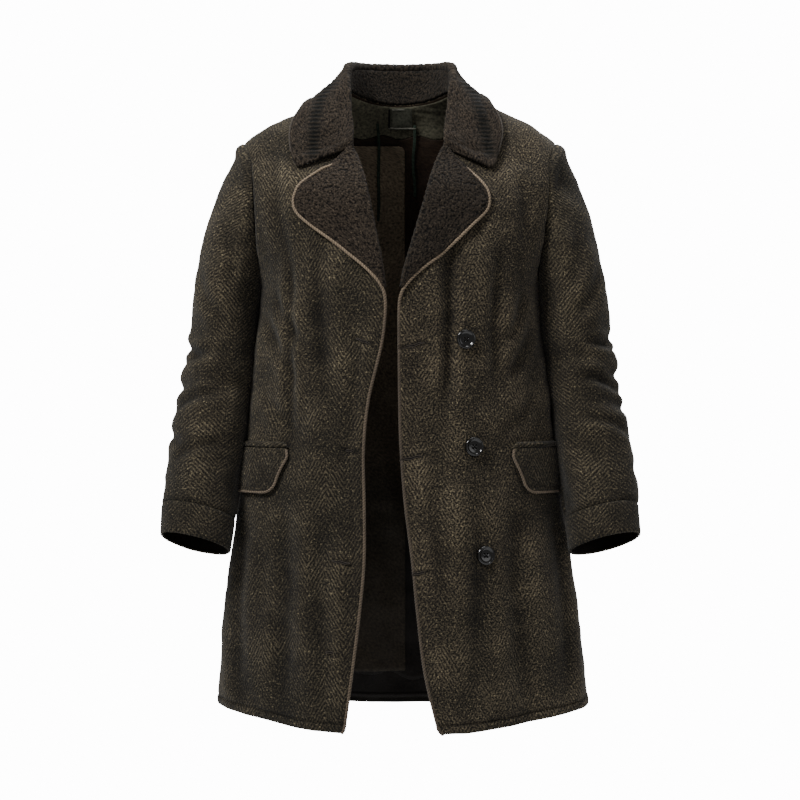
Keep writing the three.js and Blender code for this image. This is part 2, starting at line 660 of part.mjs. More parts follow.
function solidOf(geometry) {
  const positions = geometry.attributes.position;
  const known = new Map();
  const vertices = [];
  const faces = [];
  const order = geometry.index ? Array.from(geometry.index.array) : [...Array(positions.count).keys()];
  for (const i of order) {
    const corner = new THREE.Vector3().fromBufferAttribute(positions, i);
    const key = corner.toArray().map((v) => Math.round(v * 1e4)).join();
    if (!known.has(key)) {
      known.set(key, known.size);
      vertices.push(...corner.toArray());
    }
    faces.push(known.get(key));
  }
  const kept = faces.filter((_, i) => {
    const [a, b, c] = faces.slice(i - (i % 3), i - (i % 3) + 3);
    return a !== b && b !== c && c !== a;
  });
  return new wasm.Manifold(new wasm.Mesh({
    numProp: 3, vertProperties: new Float32Array(vertices), triVerts: new Uint32Array(kept) }));
}

// A four-hole button with a raised rim, its axis along Y.
function button() {
  const half = buttonThick / 2;
  const rim = buttonRadius - 3.4;
  const profile = [
    [0, -half], [buttonRadius - 2.6, -half], [buttonRadius - 0.4, -half + 1.4], [buttonRadius, 0.6],
    [buttonRadius - 1.4, half], [rim, half - 0.5], [rim - 2, half - 1.9], [0, half - 1.9],
  ].map(([r, h]) => new THREE.Vector2(r, h));
  let solid = solidOf(new THREE.LatheGeometry(profile, 20));
  for (const [x, z] of [[1, 1], [1, -1], [-1, 1], [-1, -1]]) {
    const hole = new THREE.CylinderGeometry(buttonHole, buttonHole, 3 * buttonThick, 8);
    hole.translate(2.3 * x, 0, 2.3 * z);
    solid = solid.subtract(solidOf(hole));
  }
  const { vertProperties, triVerts } = solid.getMesh();
  const geometry = new THREE.BufferGeometry();
  geometry.setAttribute('position', new THREE.BufferAttribute(vertProperties, 3));
  geometry.setIndex(new THREE.BufferAttribute(triVerts, 1));
  geometry.computeVertexNormals();
  return geometry;
}

// The inside of the back. Each layer lies below the panel's outer face by a depth.
function yokeEdge(turn) {
  return yokeDeep + yokeWaves * Math.cos(rad((turn - 180) * 11));
}

const liningInset = 0.35 / backColumns;
const liningColumns = steps(backColumns).map((t) => Math.min(Math.max(t, liningInset), 1 - liningInset));

function lined(ringsOf, depth) {
  const grid = ringsOf.map((ringOf) => liningColumns.map((t) => {
    const ring = ringOf(backTurn(ringOf(180), t));
    return onBack(backTurn(ring, t), ring, depth);
  }));
  return clothWall(grid, 0, silk);
}

function yoke() {
  const rings = [0.06, 0.3, 0.7, 1.15];
  return lined([...rings.map((ring) => () => ring), yokeEdge], liningDepth);
}

function liningBack() {
  const rings = [1.8, ...armRings, ...skirtRings.slice(2), liningEnd];
  return lined([(turn) => yokeEdge(turn) + 0.03, ...rings.map((ring) => () => ring)], liningDepth);
}

function insideAt(x, z, depth) {
  return onBack(...bodyAt(x, z, true), depth);
}

function liningOver() {
  const lowest = bodyPoint(180, liningEnd - 0.05).z;
  const straight = liningPanel.top - liningPanel.corner;
  const heights = [
    ...[0, 0.35, 1].map((t) => liningPanel.top - t * liningPanel.corner),
    ...steps(14).slice(1).map((t) => mix(straight, lowest, t))];
  const grid = heights.map((z) => {
    const short = Math.max(z - straight, 0);
    const cut = liningPanel.corner - Math.sqrt(liningPanel.corner ** 2 - short ** 2);
    return steps(7).map((t) => insideAt(mix(liningPanel.right, liningPanel.left - cut, t), z, panelDepth));
  });
  return clothWall(grid, 0, silk);
}

function labelWall() {
  const grid = steps(3).map((down) => steps(3).map((across) => (
    insideAt(label.x + label.wide * (across - 0.5), label.z - label.high * (down - 0.5), overLining))));
  return clothWall(grid, 0, silk);
}

// A tape hangs on the yoke, and clears the lining panel where it lies over it.
function tapeWall(tape) {
  const grid = steps(12).map((down) => [-0.5, 0.5].map((across) => {
    const z = mix(tape.top, tape.end, down);
    const clear = tape.x < liningPanel.left ? smooth(-z, 36, 52) * 2 * (silk + 2 * seamGap) : 0;
    return insideAt(tape.x + tapeWide * across, z, overLining + clear);
  }));
  return clothWall(grid, 0, silk);
}

const tweed = new THREE.MeshStandardMaterial({ color: 0x5a5142, roughness: 0.95 });
const boiledWool = new THREE.MeshStandardMaterial({ color: 0x3f352b, roughness: 1 });
const corded = new THREE.MeshStandardMaterial({ color: 0x8a7660, roughness: 0.8 });
const horn = new THREE.MeshStandardMaterial({ color: 0x1d1814, roughness: 0.3 });
const liningCloth = new THREE.MeshStandardMaterial({ color: 0x2a2018, roughness: 0.6 });
const facingCloth = new THREE.MeshStandardMaterial({ color: 0x3b382c, roughness: 0.8 });

const coat = new THREE.Group();

function add(name, geometry, material) {
  const mesh = new THREE.Mesh(geometry, material);
  mesh.name = name;
  coat.add(mesh);
  return mesh;
}

function addButtons() {
  for (const { name, x, z } of buttons) {
    const { point, normal } = place(...bodyAt(x, z), buttonThick / 2 + 2 * seamGap);
    const mesh = add(name, button(), horn);
    mesh.position.copy(point);
    mesh.quaternion.setFromUnitVectors(new THREE.Vector3(0, 1, 0), normal);
  }
}

add('back', clothWall(backGrid, 0, wool), tweed);
for (const side of [-1, 1]) {
  const hand = nameOf(side);
  add(`front_${hand}`, clothWall(frontGrid(side), 0, wool), tweed);
  add(`sleeve_${hand}`, sleeve(side), tweed);
  add(`cuff_${hand}`, cuff(side), tweed);
  add(`lapel_${hand}`, clothWall(lapelGrid(side), doubled / 2, doubled / 2), boiledWool);
  add(`piping_${hand}`, frontPiping(side), corded);
  add(`flap_${hand}`, clothWall(flapGrid(side), doubled / 2, doubled / 2), tweed);
  add(`piping_flap_${hand}`, flapPiping(side), corded);
  add(`welt_${hand}`, weltWall(side), tweed);
}
add('collar', clothWall(collarGrid(), doubled / 2, doubled / 2), boiledWool);
add('piping_collar', collarPiping(), corded);
addButtons();
add('yoke', yoke(), facingCloth);
add('lining_back', liningBack(), liningCloth);
add('lining_panel', liningOver(), liningCloth);
add('label', labelWall(), facingCloth);
for (const tape of tapes) add(tape.name, tapeWall(tape), facingCloth);

export default coat;
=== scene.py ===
import math
import bpy
import numpy as np
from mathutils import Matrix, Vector


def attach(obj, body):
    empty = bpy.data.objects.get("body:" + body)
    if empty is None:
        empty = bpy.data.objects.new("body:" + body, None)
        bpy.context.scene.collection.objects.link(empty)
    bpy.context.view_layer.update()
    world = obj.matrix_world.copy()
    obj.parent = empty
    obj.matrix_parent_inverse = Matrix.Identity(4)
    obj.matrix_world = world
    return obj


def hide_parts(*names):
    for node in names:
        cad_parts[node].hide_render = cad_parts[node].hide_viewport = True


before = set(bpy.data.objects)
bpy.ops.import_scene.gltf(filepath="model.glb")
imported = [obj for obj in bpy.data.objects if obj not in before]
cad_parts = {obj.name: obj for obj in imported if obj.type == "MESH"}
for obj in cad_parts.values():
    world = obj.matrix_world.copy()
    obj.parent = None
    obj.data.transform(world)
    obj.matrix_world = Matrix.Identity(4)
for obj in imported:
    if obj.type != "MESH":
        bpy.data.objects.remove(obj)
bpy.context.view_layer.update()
bpy.ops.object.select_all(action="DESELECT")
print("frame loaded")

# Sizes are millimetres until a mesh is made. The front faces -Y, and the wearer's left is +X.
mm = 0.001
wool = 3  # tweed wall
doubled = 3.4  # collar, lapels and flaps
silk = 1  # lining and tapes
seamGap = 0.3
hands = {1: "left", -1: "right"}


def table(names, *rows):
    return {name: np.array(column, float) for name, column in zip(names.split(), zip(*rows))}


# The form of the body: heights at the side, front and back, and half-sizes, ring by ring from the neck.
bodyRings = table(
    "side front back right left fore aft square",
    (17, -40, 0, 80, 80, 55, 65, 2),
    (-20, -70, -25, 150, 150, 72, 82, 2.2),
    (-69, -100, -70, 235, 235, 84, 100, 2.2),
    (-140, -150, -140, 240, 240, 118, 119, 2.4),
    (-210, -220, -210, 227, 227, 136, 127, 2.4),
    (-286, -286, -286, 205, 205, 146, 129, 2.4),
    (-430, -430, -430, 216, 216, 149, 130, 2.3),
    (-600, -600, -600, 237, 237, 155, 142, 2.1),
    (-755, -765, -765, 259, 263, 163, 155, 2),
    (-900, -928, -926, 270, 282, 170, 165, 2),
)
bodyFolds = table(
    "turn spread ring reach depth",
    (41, 6, 4.6, 1, 5),
    (26, 6, 5.4, 1.5, -4),
    (-45, 7, 4.7, 1.2, 4),
    (-28, 7, 5.6, 1.4, -3),
    (104, 12, 6.5, 1.5, 10),
    (-104, 12, 6.5, 1.5, 10),
    (33, 8, 8.8, 1.9, 6),
    (56, 7, 9, 1.6, -5),
    (76, 8, 9, 2, 5),
    (-40, 8, 9, 1.8, 5),
    (-60, 8, 9, 1.8, -5),
    (-79, 8, 9, 2.1, 5),
    (122, 9, 9, 2, 7),
    (146, 9, 9, 2.3, -6),
    (171, 10, 9, 2.4, 6),
    (-163, 9, 9, 1.9, -6),
    (-139, 10, 9, 2.2, 7),
    (-115, 8, 9, 1.8, -5),
    (128, 8, 4.6, 1.3, 4),
    (-131, 8, 4.4, 1.4, 4),
)
frontEdges = table(
    "z right left",
    (-301, -17, -4),
    (-365, -23, -4),
    (-451, -43, -3),
    (-522, -50, -1),
    (-600, -49, 5),
    (-680, -49, 15),
    (-750, -55, 22),
    (-840, -66, 33),
    (-928, -78, 54),
)
lapelRows = {
    -1: table(
        "foldX foldZ edgeX edgeZ",
        (-17, -300, -22, -301),
        (-23, -268, -42, -272),
        (-29, -235, -82, -238),
        (-38, -190, -129, -202),
        (-43, -165, -150, -182),
        (-47, -147, -156, -165),
        (-50, -134, -153, -149),
        (-54, -120, -144, -135),
        (-60, -102, -122, -120),
        (-67, -86, -101, -106),
    ),
    1: table(
        "foldX foldZ edgeX edgeZ",
        (-4, -300, 1, -302),
        (4, -268, 23, -274),
        (14, -235, 68, -238),
        (27, -190, 111, -196),
        (33, -170, 127, -178),
        (38, -152, 131, -163),
        (42, -138, 128, -147),
        (46, -124, 118, -133),
        (53, -104, 106, -121),
        (61, -86, 94, -108),
    ),
}
collarRows = table(
    "foldX foldY foldZ midTurn midRing midLift edgeTurn edgeRing edgeLift",
    (0, 77, 62, 180, 0, 29, 180, 0.96, 8),
    (48, 66, 62, 142, 0.05, 27, 145, 0.96, 8),
    (73, 28, 57, 108, 0.12, 21, 110, 0.93, 8),
    (76, -5, 38, 85, 0.45, 12, 87, 0.88, 8),
    (73, -44, -18, 65, 1.15, 9, 75, 1.34, 8),
    (67, -81, -80, 53.5, 2.08, 7, 61.6, 2.56, 6),
)
sleeveSections = table(
    "x y z wide deep pitch lean",
    (261, -2, -330, 50.5, 72, 0, 5),
    (273, -14, -430, 52, 66, 9, 7),
    (285.5, -36, -520, 55, 59, 15, 9),
    (295, -60, -600, 55, 53, 17, 11),
    (300, -78, -660, 53.5, 50, 18, 13),
)
sleeveFolds = {
    -1: table(
        "turn spread section reach depth",
        (60, 60, 0.2, 0.16, -4),
        (10, 50, 0.55, 0.14, -4),
        (120, 45, 1.05, 0.16, -5),
        (60, 60, 1.6, 0.2, 3),
        (190, 50, 1.4, 0.2, -5),
        (250, 50, 0.7, 0.2, 4),
    ),
    1: table(
        "turn spread section reach depth",
        (30, 55, 0.25, 0.14, -5),
        (100, 55, 0.6, 0.15, -5),
        (45, 50, 1, 0.16, -4),
        (80, 60, 1.7, 0.2, 3),
        (185, 50, 1.3, 0.2, -5),
        (255, 50, 0.8, 0.2, 4),
    ),
}
cut = {
    "pipingRadius": 2.2,
    "lapelRoll": 4.6,  # radius of the lapel's fold
    "lapelLift": 4.6,
    "hemCorner": 10,
    "gorge": 1.6,  # rings where the collar meets the lapel, of the shoulder points, and so on
    "shoulder": 2,
    "underarm": 5,
    "hem": 9,
    "armholeFront": 16.5,  # degrees from the side seam
    "armholeBack": 17,
    "cuffDeep": 48,
    "breakZ": -300,
}


def mix(a, b, t):
    return a + (b - a) * t


def smooth(x, low, high):
    t = np.clip((np.asarray(x, float) - low) / (high - low), 0, 1)
    return t * t * (3 - 2 * t)


def bump(distance, reach):
    return np.exp(-((distance / reach) ** 2))


def curve(values, at):
    last = len(values) - 1
    place = np.clip(at, 0, last)
    i = np.minimum(np.floor(place).astype(int), last - 1)
    t = place - i
    b, c = values[i], values[i + 1]
    a = np.where(i > 0, values[np.maximum(i - 1, 0)], 2 * b - c)
    d = np.where(i + 2 <= last, values[np.minimum(i + 2, last)], 2 * c - b)
    return b + 0.5 * t * (c - a + t * (2 * a - 5 * b + 4 * c - d + t * (3 * b - a - 3 * c + d)))


def rowAt(rows, at):
    return {name: curve(values, at) for name, values in rows.items()}


def columnAt(rows, heights, column, z):
    along = np.linspace(0, len(rows[heights]) - 1, 500)
    given = curve(rows[heights], along)
    order = np.argsort(given)
    return np.interp(z, given[order], curve(rows[column], along)[order])


def unit(vectors):
    return vectors / np.maximum(np.linalg.norm(vectors, axis=-1, keepdims=True), 1e-9)


def turnBetween(a, b):
    return (a - b + 540) % 360 - 180


# Length along a path, or along each row or column of a grid, from its start.
def runLength(points, axis=0):
    steps = np.linalg.norm(np.diff(points, axis=axis), axis=-1)
    start = np.zeros_like(np.take(steps, [0], axis=axis))
    return np.concatenate([start, np.cumsum(steps, axis=axis)], axis=axis)


def bezier(start, second, third, end, t):
    return (1 - t) ** 3 * start + 3 * t * (1 - t) ** 2 * second + 3 * t * t * (1 - t) * third + t**3 * end


# The body's outer surface at a turn round from the front, in degrees, and a ring.
def bodyPoint(turn, ring):
    turn, ring = np.broadcast_arrays(np.asarray(turn, float), np.asarray(ring, float))
    row = rowAt(bodyRings, ring)
    s, c = np.sin(np.radians(turn)), np.cos(np.radians(turn))
    half = np.where(s < 0, row["right"], row["left"])
    deep = np.where(c > 0, row["fore"], row["aft"])
    square = row["square"]
    plain = ((np.abs(s) / half) ** square + (np.abs(c) / deep) ** square) ** (-1 / square)
    folded = plain.copy()
    for at, spread, level, reach, depth in zip(*bodyFolds.values()):
        folded += depth * bump(turnBetween(turn, at), spread) * bump(ring - level, reach)
    aside = np.minimum((plain * s / half) ** 2, 1)
    height = mix(np.where(c > 0, row["front"], row["back"]), row["side"], aside)
    return np.stack([folded * s, -folded * c, height], -1)


def place(turn, ring, lift=0.0):
    turn, ring = np.broadcast_arrays(np.asarray(turn, float), np.asarray(ring, float))
    up = np.maximum(ring - 0.03, 0)
    down = np.minimum(ring + 0.03, cut["hem"])
    across = bodyPoint(turn + 0.6, ring) - bodyPoint(turn - 0.6, ring)
    normal = unit(np.cross(bodyPoint(turn, down) - bodyPoint(turn, up), across))
    return bodyPoint(turn, ring) + normal * np.asarray(lift)[..., None], normal


# The turn and ring of the body's front, or its back, at x and z.
def bodyAt(x, z, back=False):
    x, z = np.broadcast_arrays(np.asarray(x, float), np.asarray(z, float))
    heights = bodyRings["back" if back else "front"]
    ring = np.interp(-z, -heights, np.arange(len(heights)))
    aside = np.degrees(np.arcsin(np.clip(x / curve(bodyRings["left"], ring), -0.97, 0.97)))
    turn = 180 - aside if back else aside
    for _ in range(14):
        here = bodyPoint(turn, ring)
        byTurn = (bodyPoint(turn + 0.2, ring) - here) / 0.2
        byRing = (bodyPoint(turn, np.minimum(ring + 0.01, 8.999)) - here) / 0.01
        missX, missZ = x - here[..., 0], z - here[..., 2]
        det = byTurn[..., 0] * byRing[..., 2] - byRing[..., 0] * byTurn[..., 2]
        det = np.where(np.abs(det) < 1e-3, -1e-3, det)
        turn = turn + np.clip((missX * byRing[..., 2] - byRing[..., 0] * missZ) / det, -5, 5)
        ringStep = np.clip((byTurn[..., 0] * missZ - missX * byTurn[..., 2]) / det, -0.4, 0.4)
        ring = np.clip(ring + ringStep, 0, 8.98)
    return turn, ring


def frontEdge(side, z):
    low = frontEdges["z"][-1]
    corner = np.maximum(cut["hemCorner"] - (z - low), 0)
    rounding = cut["hemCorner"] - np.sqrt(np.maximum(cut["hemCorner"] ** 2 - corner**2, 0))
    return columnAt(frontEdges, "z", hands[side], z) + side * rounding


def turnWhere(ring, xOf):
    turn = np.zeros_like(ring)
    for _ in range(16):
        p = bodyPoint(turn, ring)
        turn = turn + np.degrees((xOf(p[..., 2]) - p[..., 0]) / np.hypot(p[..., 0], p[..., 1]))
    return turn


def openingTurn(side, ring, inset):
    ring = np.asarray(ring, float)
    foldInset = cut["lapelRoll"] + doubled / 2 + seamGap - 2 * cut["pipingRadius"]

    def edgeAt(z):
        fold = columnAt(lapelRows[side], "foldZ", "foldX", z)
        edge = np.where(z > cut["breakZ"], fold, frontEdge(side, z))
        return edge + side * (inset + foldInset * smooth(z, cut["breakZ"] - 12, cut["breakZ"] + 20))

    gorge = cut["gorge"]
    low = turnWhere(np.maximum(ring, gorge + 0.001), edgeAt)
    start = turnWhere(np.full_like(ring, gorge + 0.001), edgeAt)
    return np.where(ring > gorge, low, mix(side * 90, start, (np.minimum(ring, gorge) / gorge) ** 0.8))


def armholeOpen(ring):
    up = (cut["shoulder"] + cut["underarm"] - 2 * ring) / (cut["underarm"] - cut["shoulder"])
    return np.where(np.abs(up) < 1, np.maximum(1 - up * up, 0) ** 0.4, 0)


def seamTurn(side, ring, back):
    reach = np.linalg.norm(bodyPoint(side * 90, ring), axis=-1)
    gap = np.degrees(seamGap / 2 / reach)
    return side * (90 + (gap if back else -gap))


# Rings at even steps down the body, and finer ones above the hem for its stitching.
hemSteps = {"coarse": 4.3, "deep": 18, "fine": 1.3}


def ringSteps(start):
    dense = np.linspace(start, cut["hem"], 1200)
    length = runLength(bodyPoint(np.full_like(dense, 60), dense))
    total, deep = length[-1], hemSteps["deep"]
    coarse = np.linspace(0, total - deep, int((total - deep) / hemSteps["coarse"]))[:-1]
    fine = np.linspace(total - deep, total, int(deep / hemSteps["fine"]))
    return np.interp(np.concatenate([coarse, fine]), length, dense)


# The cloth's own flat measures on the body: u round from the front, v down from the neck's level.
clothTurns = np.arange(-180, 361, 1.0)
clothRings = np.arange(0, 9.001, 0.05)
clothForm = bodyPoint(clothTurns[None, :], clothRings[:, None])
clothU = runLength(clothForm, 1)
clothU -= clothU[:, [180]]
clothV = runLength(clothForm)
clothV += (-clothForm[100, :, 2] - clothV[100])[None, :]


def clothAt(turn, ring):
    turn, ring = np.broadcast_arrays(np.asarray(turn, float), np.asarray(ring, float))
    a = np.clip(turn + 180, 0, len(clothTurns) - 1.001)
    b = np.clip(ring / 0.05, 0, len(clothRings) - 1.001)
    i, j = b.astype(int), a.astype(int)
    s, t = b - i, a - j

    def at(grid):
        above = mix(grid[i, j], grid[i, j + 1], t)
        below = mix(grid[i + 1, j], grid[i + 1, j + 1], t)
        return mix(above, below, s)

    return at(clothU), at(clothV)


# Uneven cloth: a soft noise, and a noise of nubs, both repeatable.
def softNoise(u, v, size, seed):
    lattice = np.random.default_rng(seed).random((97, 97)) * 2 - 1
    a, b = u / size + 500, v / size + 500
    i, j = np.floor(a).astype(int), np.floor(b).astype(int)
    s, t = a - i, b - j
    s, t = s * s * (3 - 2 * s), t * t * (3 - 2 * t)

    def at(p, q):
        return lattice[p % 97, q % 97]

    return mix(mix(at(i, j), at(i + 1, j), s), mix(at(i, j + 1), at(i + 1, j + 1), s), t)


def nubNoise(u, v, size, seed):
    offsets = np.random.default_rng(seed).random((97, 97, 2))
    a, b = u / size + 500, v / size + 500
    i, j = np.floor(a).astype(int), np.floor(b).astype(int)
    nearest = np.full(np.shape(a), 9.0)
    for di in (-1, 0, 1):
        for dj in (-1, 0, 1):
            spot = offsets[(i + di) % 97, (j + dj) % 97]
            away = np.hypot(i + di + spot[..., 0] - a, j + dj + spot[..., 1] - b)
            nearest = np.minimum(nearest, away)
    return 1 - np.clip(nearest, 0, 1)


# Creases: a soft trough between two low ridges, from one point of the cloth to another.
def creased(u, v, rows):
    height = np.zeros(np.shape(u))
    for u0, v0, u1, v1, width, depth, bow in zip(*rows.values()):
        length = math.hypot(u1 - u0, v1 - v0)
        along = ((u - u0) * (u1 - u0) + (v - v0) * (v1 - v0)) / length**2
        across = ((v - v0) * (u1 - u0) - (u - u0) * (v1 - v0)) / length
        t = np.clip(along, 0, 1)
        across = across - bow * 4 * t * (1 - t)
        ends = smooth(along, -0.12, 0.3) * smooth(1 - along, -0.12, 0.3)
        trough = bump(across, width)
        ridges = bump(across - 1.9 * width, 1.1 * width) + bump(across + 1.9 * width, 1.1 * width)
        height -= depth * ends * (trough - 0.4 * ridges)
    return height


def gridNormals(points, closed=False):
    if closed:
        around = np.concatenate([points[:, -1:], points, points[:, :1]], axis=1)
        across = around[:, 2:] - around[:, :-2]
    else:
        across = np.gradient(points, axis=1)
    return unit(np.cross(np.gradient(points, axis=0), across))


def facing(normals, like):
    return normals if np.sum(normals * like) > 0 else -normals


# The points moved out by a height, and the normals of the surface that this makes.
def raised(points, normals, height, closed=False):
    outer = points + normals * height[..., None]
    return outer, facing(gridNormals(outer, closed), normals)


def linkObject(name, data):
    made = bpy.data.objects.new(name, data)
    bpy.context.scene.collection.objects.link(made)
    return made


def paint(mesh, name, values):
    mesh.attributes.new(name, "FLOAT", "POINT").data.foreach_set("value", values.astype(np.float32))


def meshObject(name, vertices, faces, uvs, materials, slots, relief=None):
    mesh = bpy.data.meshes.new(name)
    mesh.from_pydata((vertices * mm).tolist(), [], faces.tolist())
    mesh.uv_layers.new(name="cloth").data.foreach_set("uv", (uvs.reshape(-1) * mm).astype(np.float32))
    for material in materials:
        mesh.materials.append(material)
    mesh.polygons.foreach_set("material_index", slots.astype(np.int32))
    mesh.polygons.foreach_set("use_smooth", np.ones(len(faces), bool))
    if relief is not None:
        paint(mesh, "relief", relief)
    mesh.update()
    return linkObject(name, mesh)


def quads(index, first=0):
    corners = (index[:-1, :-1], index[1:, :-1], index[1:, 1:], index[:-1, 1:])
    return np.stack([c.reshape(-1) for c in corners], 1) + first


# A wall of cloth on a grid of points: its outer face, its inner face, and a rounded rim between them.
# uv holds the cloth's flat measures, with one more column than the points where the grid closes on itself.
def clothShell(name, outer, inner, uv, materials, closed=False, relief=None, rim=0.45):
    rows, columns = outer.shape[:2]
    count = rows * columns
    index = np.arange(count).reshape(rows, columns)
    uvIndex = index
    if closed:
        index = np.hstack([index, index[:, :1]])
        uvIndex = np.arange(rows * (columns + 1)).reshape(rows, columns + 1)
    uvFlat = uv.reshape(-1, 2)
    last = rows - 1
    if closed:
        low = [grid[last][::-1] for grid in (index, uvIndex)]
        loops = [(index[0], uvIndex[0], index[1]), (*low, index[last - 1][::-1])]
    else:
        end = columns - 1
        across, down = np.arange(end), np.arange(last)
        i = np.concatenate([0 * across, down, last + 0 * across, last - down, [0]])
        j = np.concatenate([across, end + 0 * down, end - across, 0 * down, [0]])
        within = index[np.clip(i, 1, last - 1), np.clip(j, 1, end - 1)]
        loops = [(index[i, j], uvIndex[i, j], within)]
    outerFlat, innerFlat = outer.reshape(-1, 3), inner.reshape(-1, 3)
    vertices = [outerFlat, innerFlat]
    faces = [quads(index), quads(index, count)[:, ::-1]]
    corners = [quads(uvIndex), quads(uvIndex)[:, ::-1]]
    slots = [np.zeros(len(faces[0])), np.full(len(faces[1]), len(materials) - 1)]
    reliefs = [np.full(count, 0.5) if relief is None else relief.reshape(-1)] * 2
    first = 2 * count
    for loop, uvLoop, within in loops:
        turned = loop[:-1]
        size = len(turned)
        middle = (outerFlat[turned] + innerFlat[turned]) / 2
        thick = np.linalg.norm(outerFlat[turned] - innerFlat[turned], axis=-1, keepdims=True)
        away = unit(middle - (outerFlat[within[:-1]] + innerFlat[within[:-1]]) / 2)
        vertices.append(middle + away * thick * rim)
        reliefs.append(np.full(size, 0.5))
        here = np.arange(size)
        ahead = (here + 1) % size
        a, b = loop[:-1], loop[1:]
        faces.append(np.stack([a, b, first + ahead, first + here], 1))
        faces.append(np.stack([first + here, first + ahead, b + count, a + count], 1))
        corners += [np.stack([uvLoop[:-1], uvLoop[1:], uvLoop[1:], uvLoop[:-1]], 1)] * 2
        slots += [np.zeros(size)] * 2
        first += size
    vertices, faces, corners = np.concatenate(vertices), np.concatenate(faces), np.concatenate(corners)
    a, b, c = (vertices[faces[:, k]] for k in (0, 1, 2))
    d = vertices[faces[:, 3]]
    volume = np.sum(a * np.cross(b, c)) + np.sum(a * np.cross(c, d))
    if volume < 0:
        faces, corners = faces[:, ::-1], corners[:, ::-1]
    return meshObject(
        name, vertices, faces, uvFlat[corners], materials, np.concatenate(slots), np.concatenate(reliefs)
    )


# Every cloth piece is attached to the root, with its part in the model hidden; its flat width is measured
# along its own grid and not used further.
def declareCloth(piece, grid, node, closed=False):
    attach(piece, "root")
    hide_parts(node)
    across = np.concatenate([grid, grid[:, :1]], axis=1) if closed else grid
    width = float(np.linalg.norm(np.diff(across, axis=1), axis=-1).sum(axis=1).max()) * mm
    width = max(width, 0.0102)


# A round cord along a path, with the twist of its strands raised on it.
def cordMesh(name, path, normals, radius, material, sides=14, lay=5.5, relief=0.13):
    ahead = unit(np.gradient(path, axis=0))
    aside = unit(np.cross(ahead, normals))
    up = np.cross(aside, ahead)
    length = runLength(path)
    around = np.arange(sides) * 2 * math.pi / sides
    twist = np.abs(np.sin(around[None, :] + math.pi * length[:, None] / lay))  # two strands
    reach = radius * (1 - relief + relief * 1.6 * twist)
    reach[[0, -1]] *= 0.5
    points = (
        path[:, None]
        + aside[:, None] * (reach * np.cos(around))[..., None]
        + up[:, None] * (reach * np.sin(around))[..., None]
    )
    count = len(path)
    index = np.arange(count * sides).reshape(count, sides)
    index = np.hstack([index, index[:, :1]])
    uvIndex = np.arange(count * (sides + 1)).reshape(count, sides + 1)
    uv = np.stack(
        np.broadcast_arrays(np.linspace(0, 2 * math.pi * radius, sides + 1)[None, :], length[:, None]), -1
    ).reshape(-1, 2)
    total = count * sides
    ends = np.array([total, total + 1])
    caps = []
    for row, end, order in ((0, ends[0], 1), (count - 1, ends[1], -1)):
        loop = index[row][::order]
        for k in range(0, sides, 2):
            caps.append([end, loop[k + 2], loop[k + 1], loop[k]])
    faces = np.concatenate([quads(index), np.array(caps)])
    corners = np.concatenate([quads(uvIndex), np.zeros((len(caps), 4), int)])
    vertices = np.concatenate([points.reshape(-1, 3), path[[0, -1]]])
    a, b, c = (vertices[faces[:, k]] for k in (0, 1, 2))
    if np.sum(a * np.cross(b, c)) < 0:
        faces, corners = faces[:, ::-1], corners[:, ::-1]
    # the twist, which the cord's material paints as shade in the grooves between the strands
    relief = np.concatenate([twist.reshape(-1), [0, 0]])
    made = meshObject(name, vertices, faces, uv[corners], [material], np.zeros(len(faces)), relief)
    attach(made, "root")
    return made


def resample(path, normals, step):
    length = runLength(path)
    places = np.linspace(0, length[-1], max(int(length[-1] / step), 4))

    def evenly(values):
        return np.stack([np.interp(places, length, values[:, k]) for k in range(3)], -1)

    return evenly(path), unit(evenly(normals))


def pastEdge(edge, normals, inner, distance, lift=0.0):
    ahead = unit(np.gradient(edge, axis=0))
    out = np.cross(ahead, normals)
    if np.sum(out * (edge - inner)) < 0:
        out = -out
    return edge + out * distance + normals * np.asarray(lift)[..., None]


# Shader helpers: nodes by name, with their inputs set or linked.
def fillInputs(tree, node, inputs):
    for key, value in inputs.items():
        if isinstance(value, bpy.types.NodeSocket):
            tree.links.new(value, node.inputs[key])
        else:
            node.inputs[key].default_value = value
    return node


def newNode(tree, kind, inputs=None, **settings):
    node = tree.nodes.new(kind)
    for name, value in settings.items():
        setattr(node, name, value)
    return fillInputs(tree, node, inputs or {})


def calc(tree, operation, a, b=0.0, c=0.0):
    return newNode(tree, "ShaderNodeMath", {0: a, 1: b, 2: c}, operation=operation).outputs[0]


def blendColors(tree, factor, a, b, blend="MIX"):
    inputs = {0: factor, 6: a, 7: b}
    return newNode(tree, "ShaderNodeMix", inputs, data_type="RGBA", blend_type=blend).outputs[2]


def newGroup(name, inputs, outputs):
    group = bpy.data.node_groups.new(name, "ShaderNodeTree")
    for socket, kind, value in inputs:
        made = group.interface.new_socket(name=socket, in_out="INPUT", socket_type=kind)
        if value is not None:
            made.default_value = value
    for socket, kind in outputs:
        group.interface.new_socket(name=socket, in_out="OUTPUT", socket_type=kind)
    return group, newNode(group, "NodeGroupInput"), newNode(group, "NodeGroupOutput")


def useGroup(tree, group, **inputs):
    return newNode(tree, "ShaderNodeGroup", inputs, node_tree=group).outputs


floatSocket, vectorSocket = "NodeSocketFloat", "NodeSocketVector"


def dimColor(tree, color, shade):
    gray = newNode(tree, "ShaderNodeCombineColor", {0: shade, 1: shade, 2: shade}).outputs[0]
    return blendColors(tree, 1.0, color, gray, "MULTIPLY")


def clampNode(tree, value):
    return newNode(tree, "ShaderNodeClamp", {0: value}).outputs[0]


def mapRange(tree, value, low, high, atLow, atHigh):
    return newNode(tree, "ShaderNodeMapRange", {0: value, 1: low, 2: high, 3: atLow, 4: atHigh}).outputs[0]


def objectSpot(tree):
    vector = newNode(tree, "ShaderNodeTexCoord").outputs["Object"]
    return vector, newNode(tree, "ShaderNodeSeparateXYZ", {0: vector}).outputs


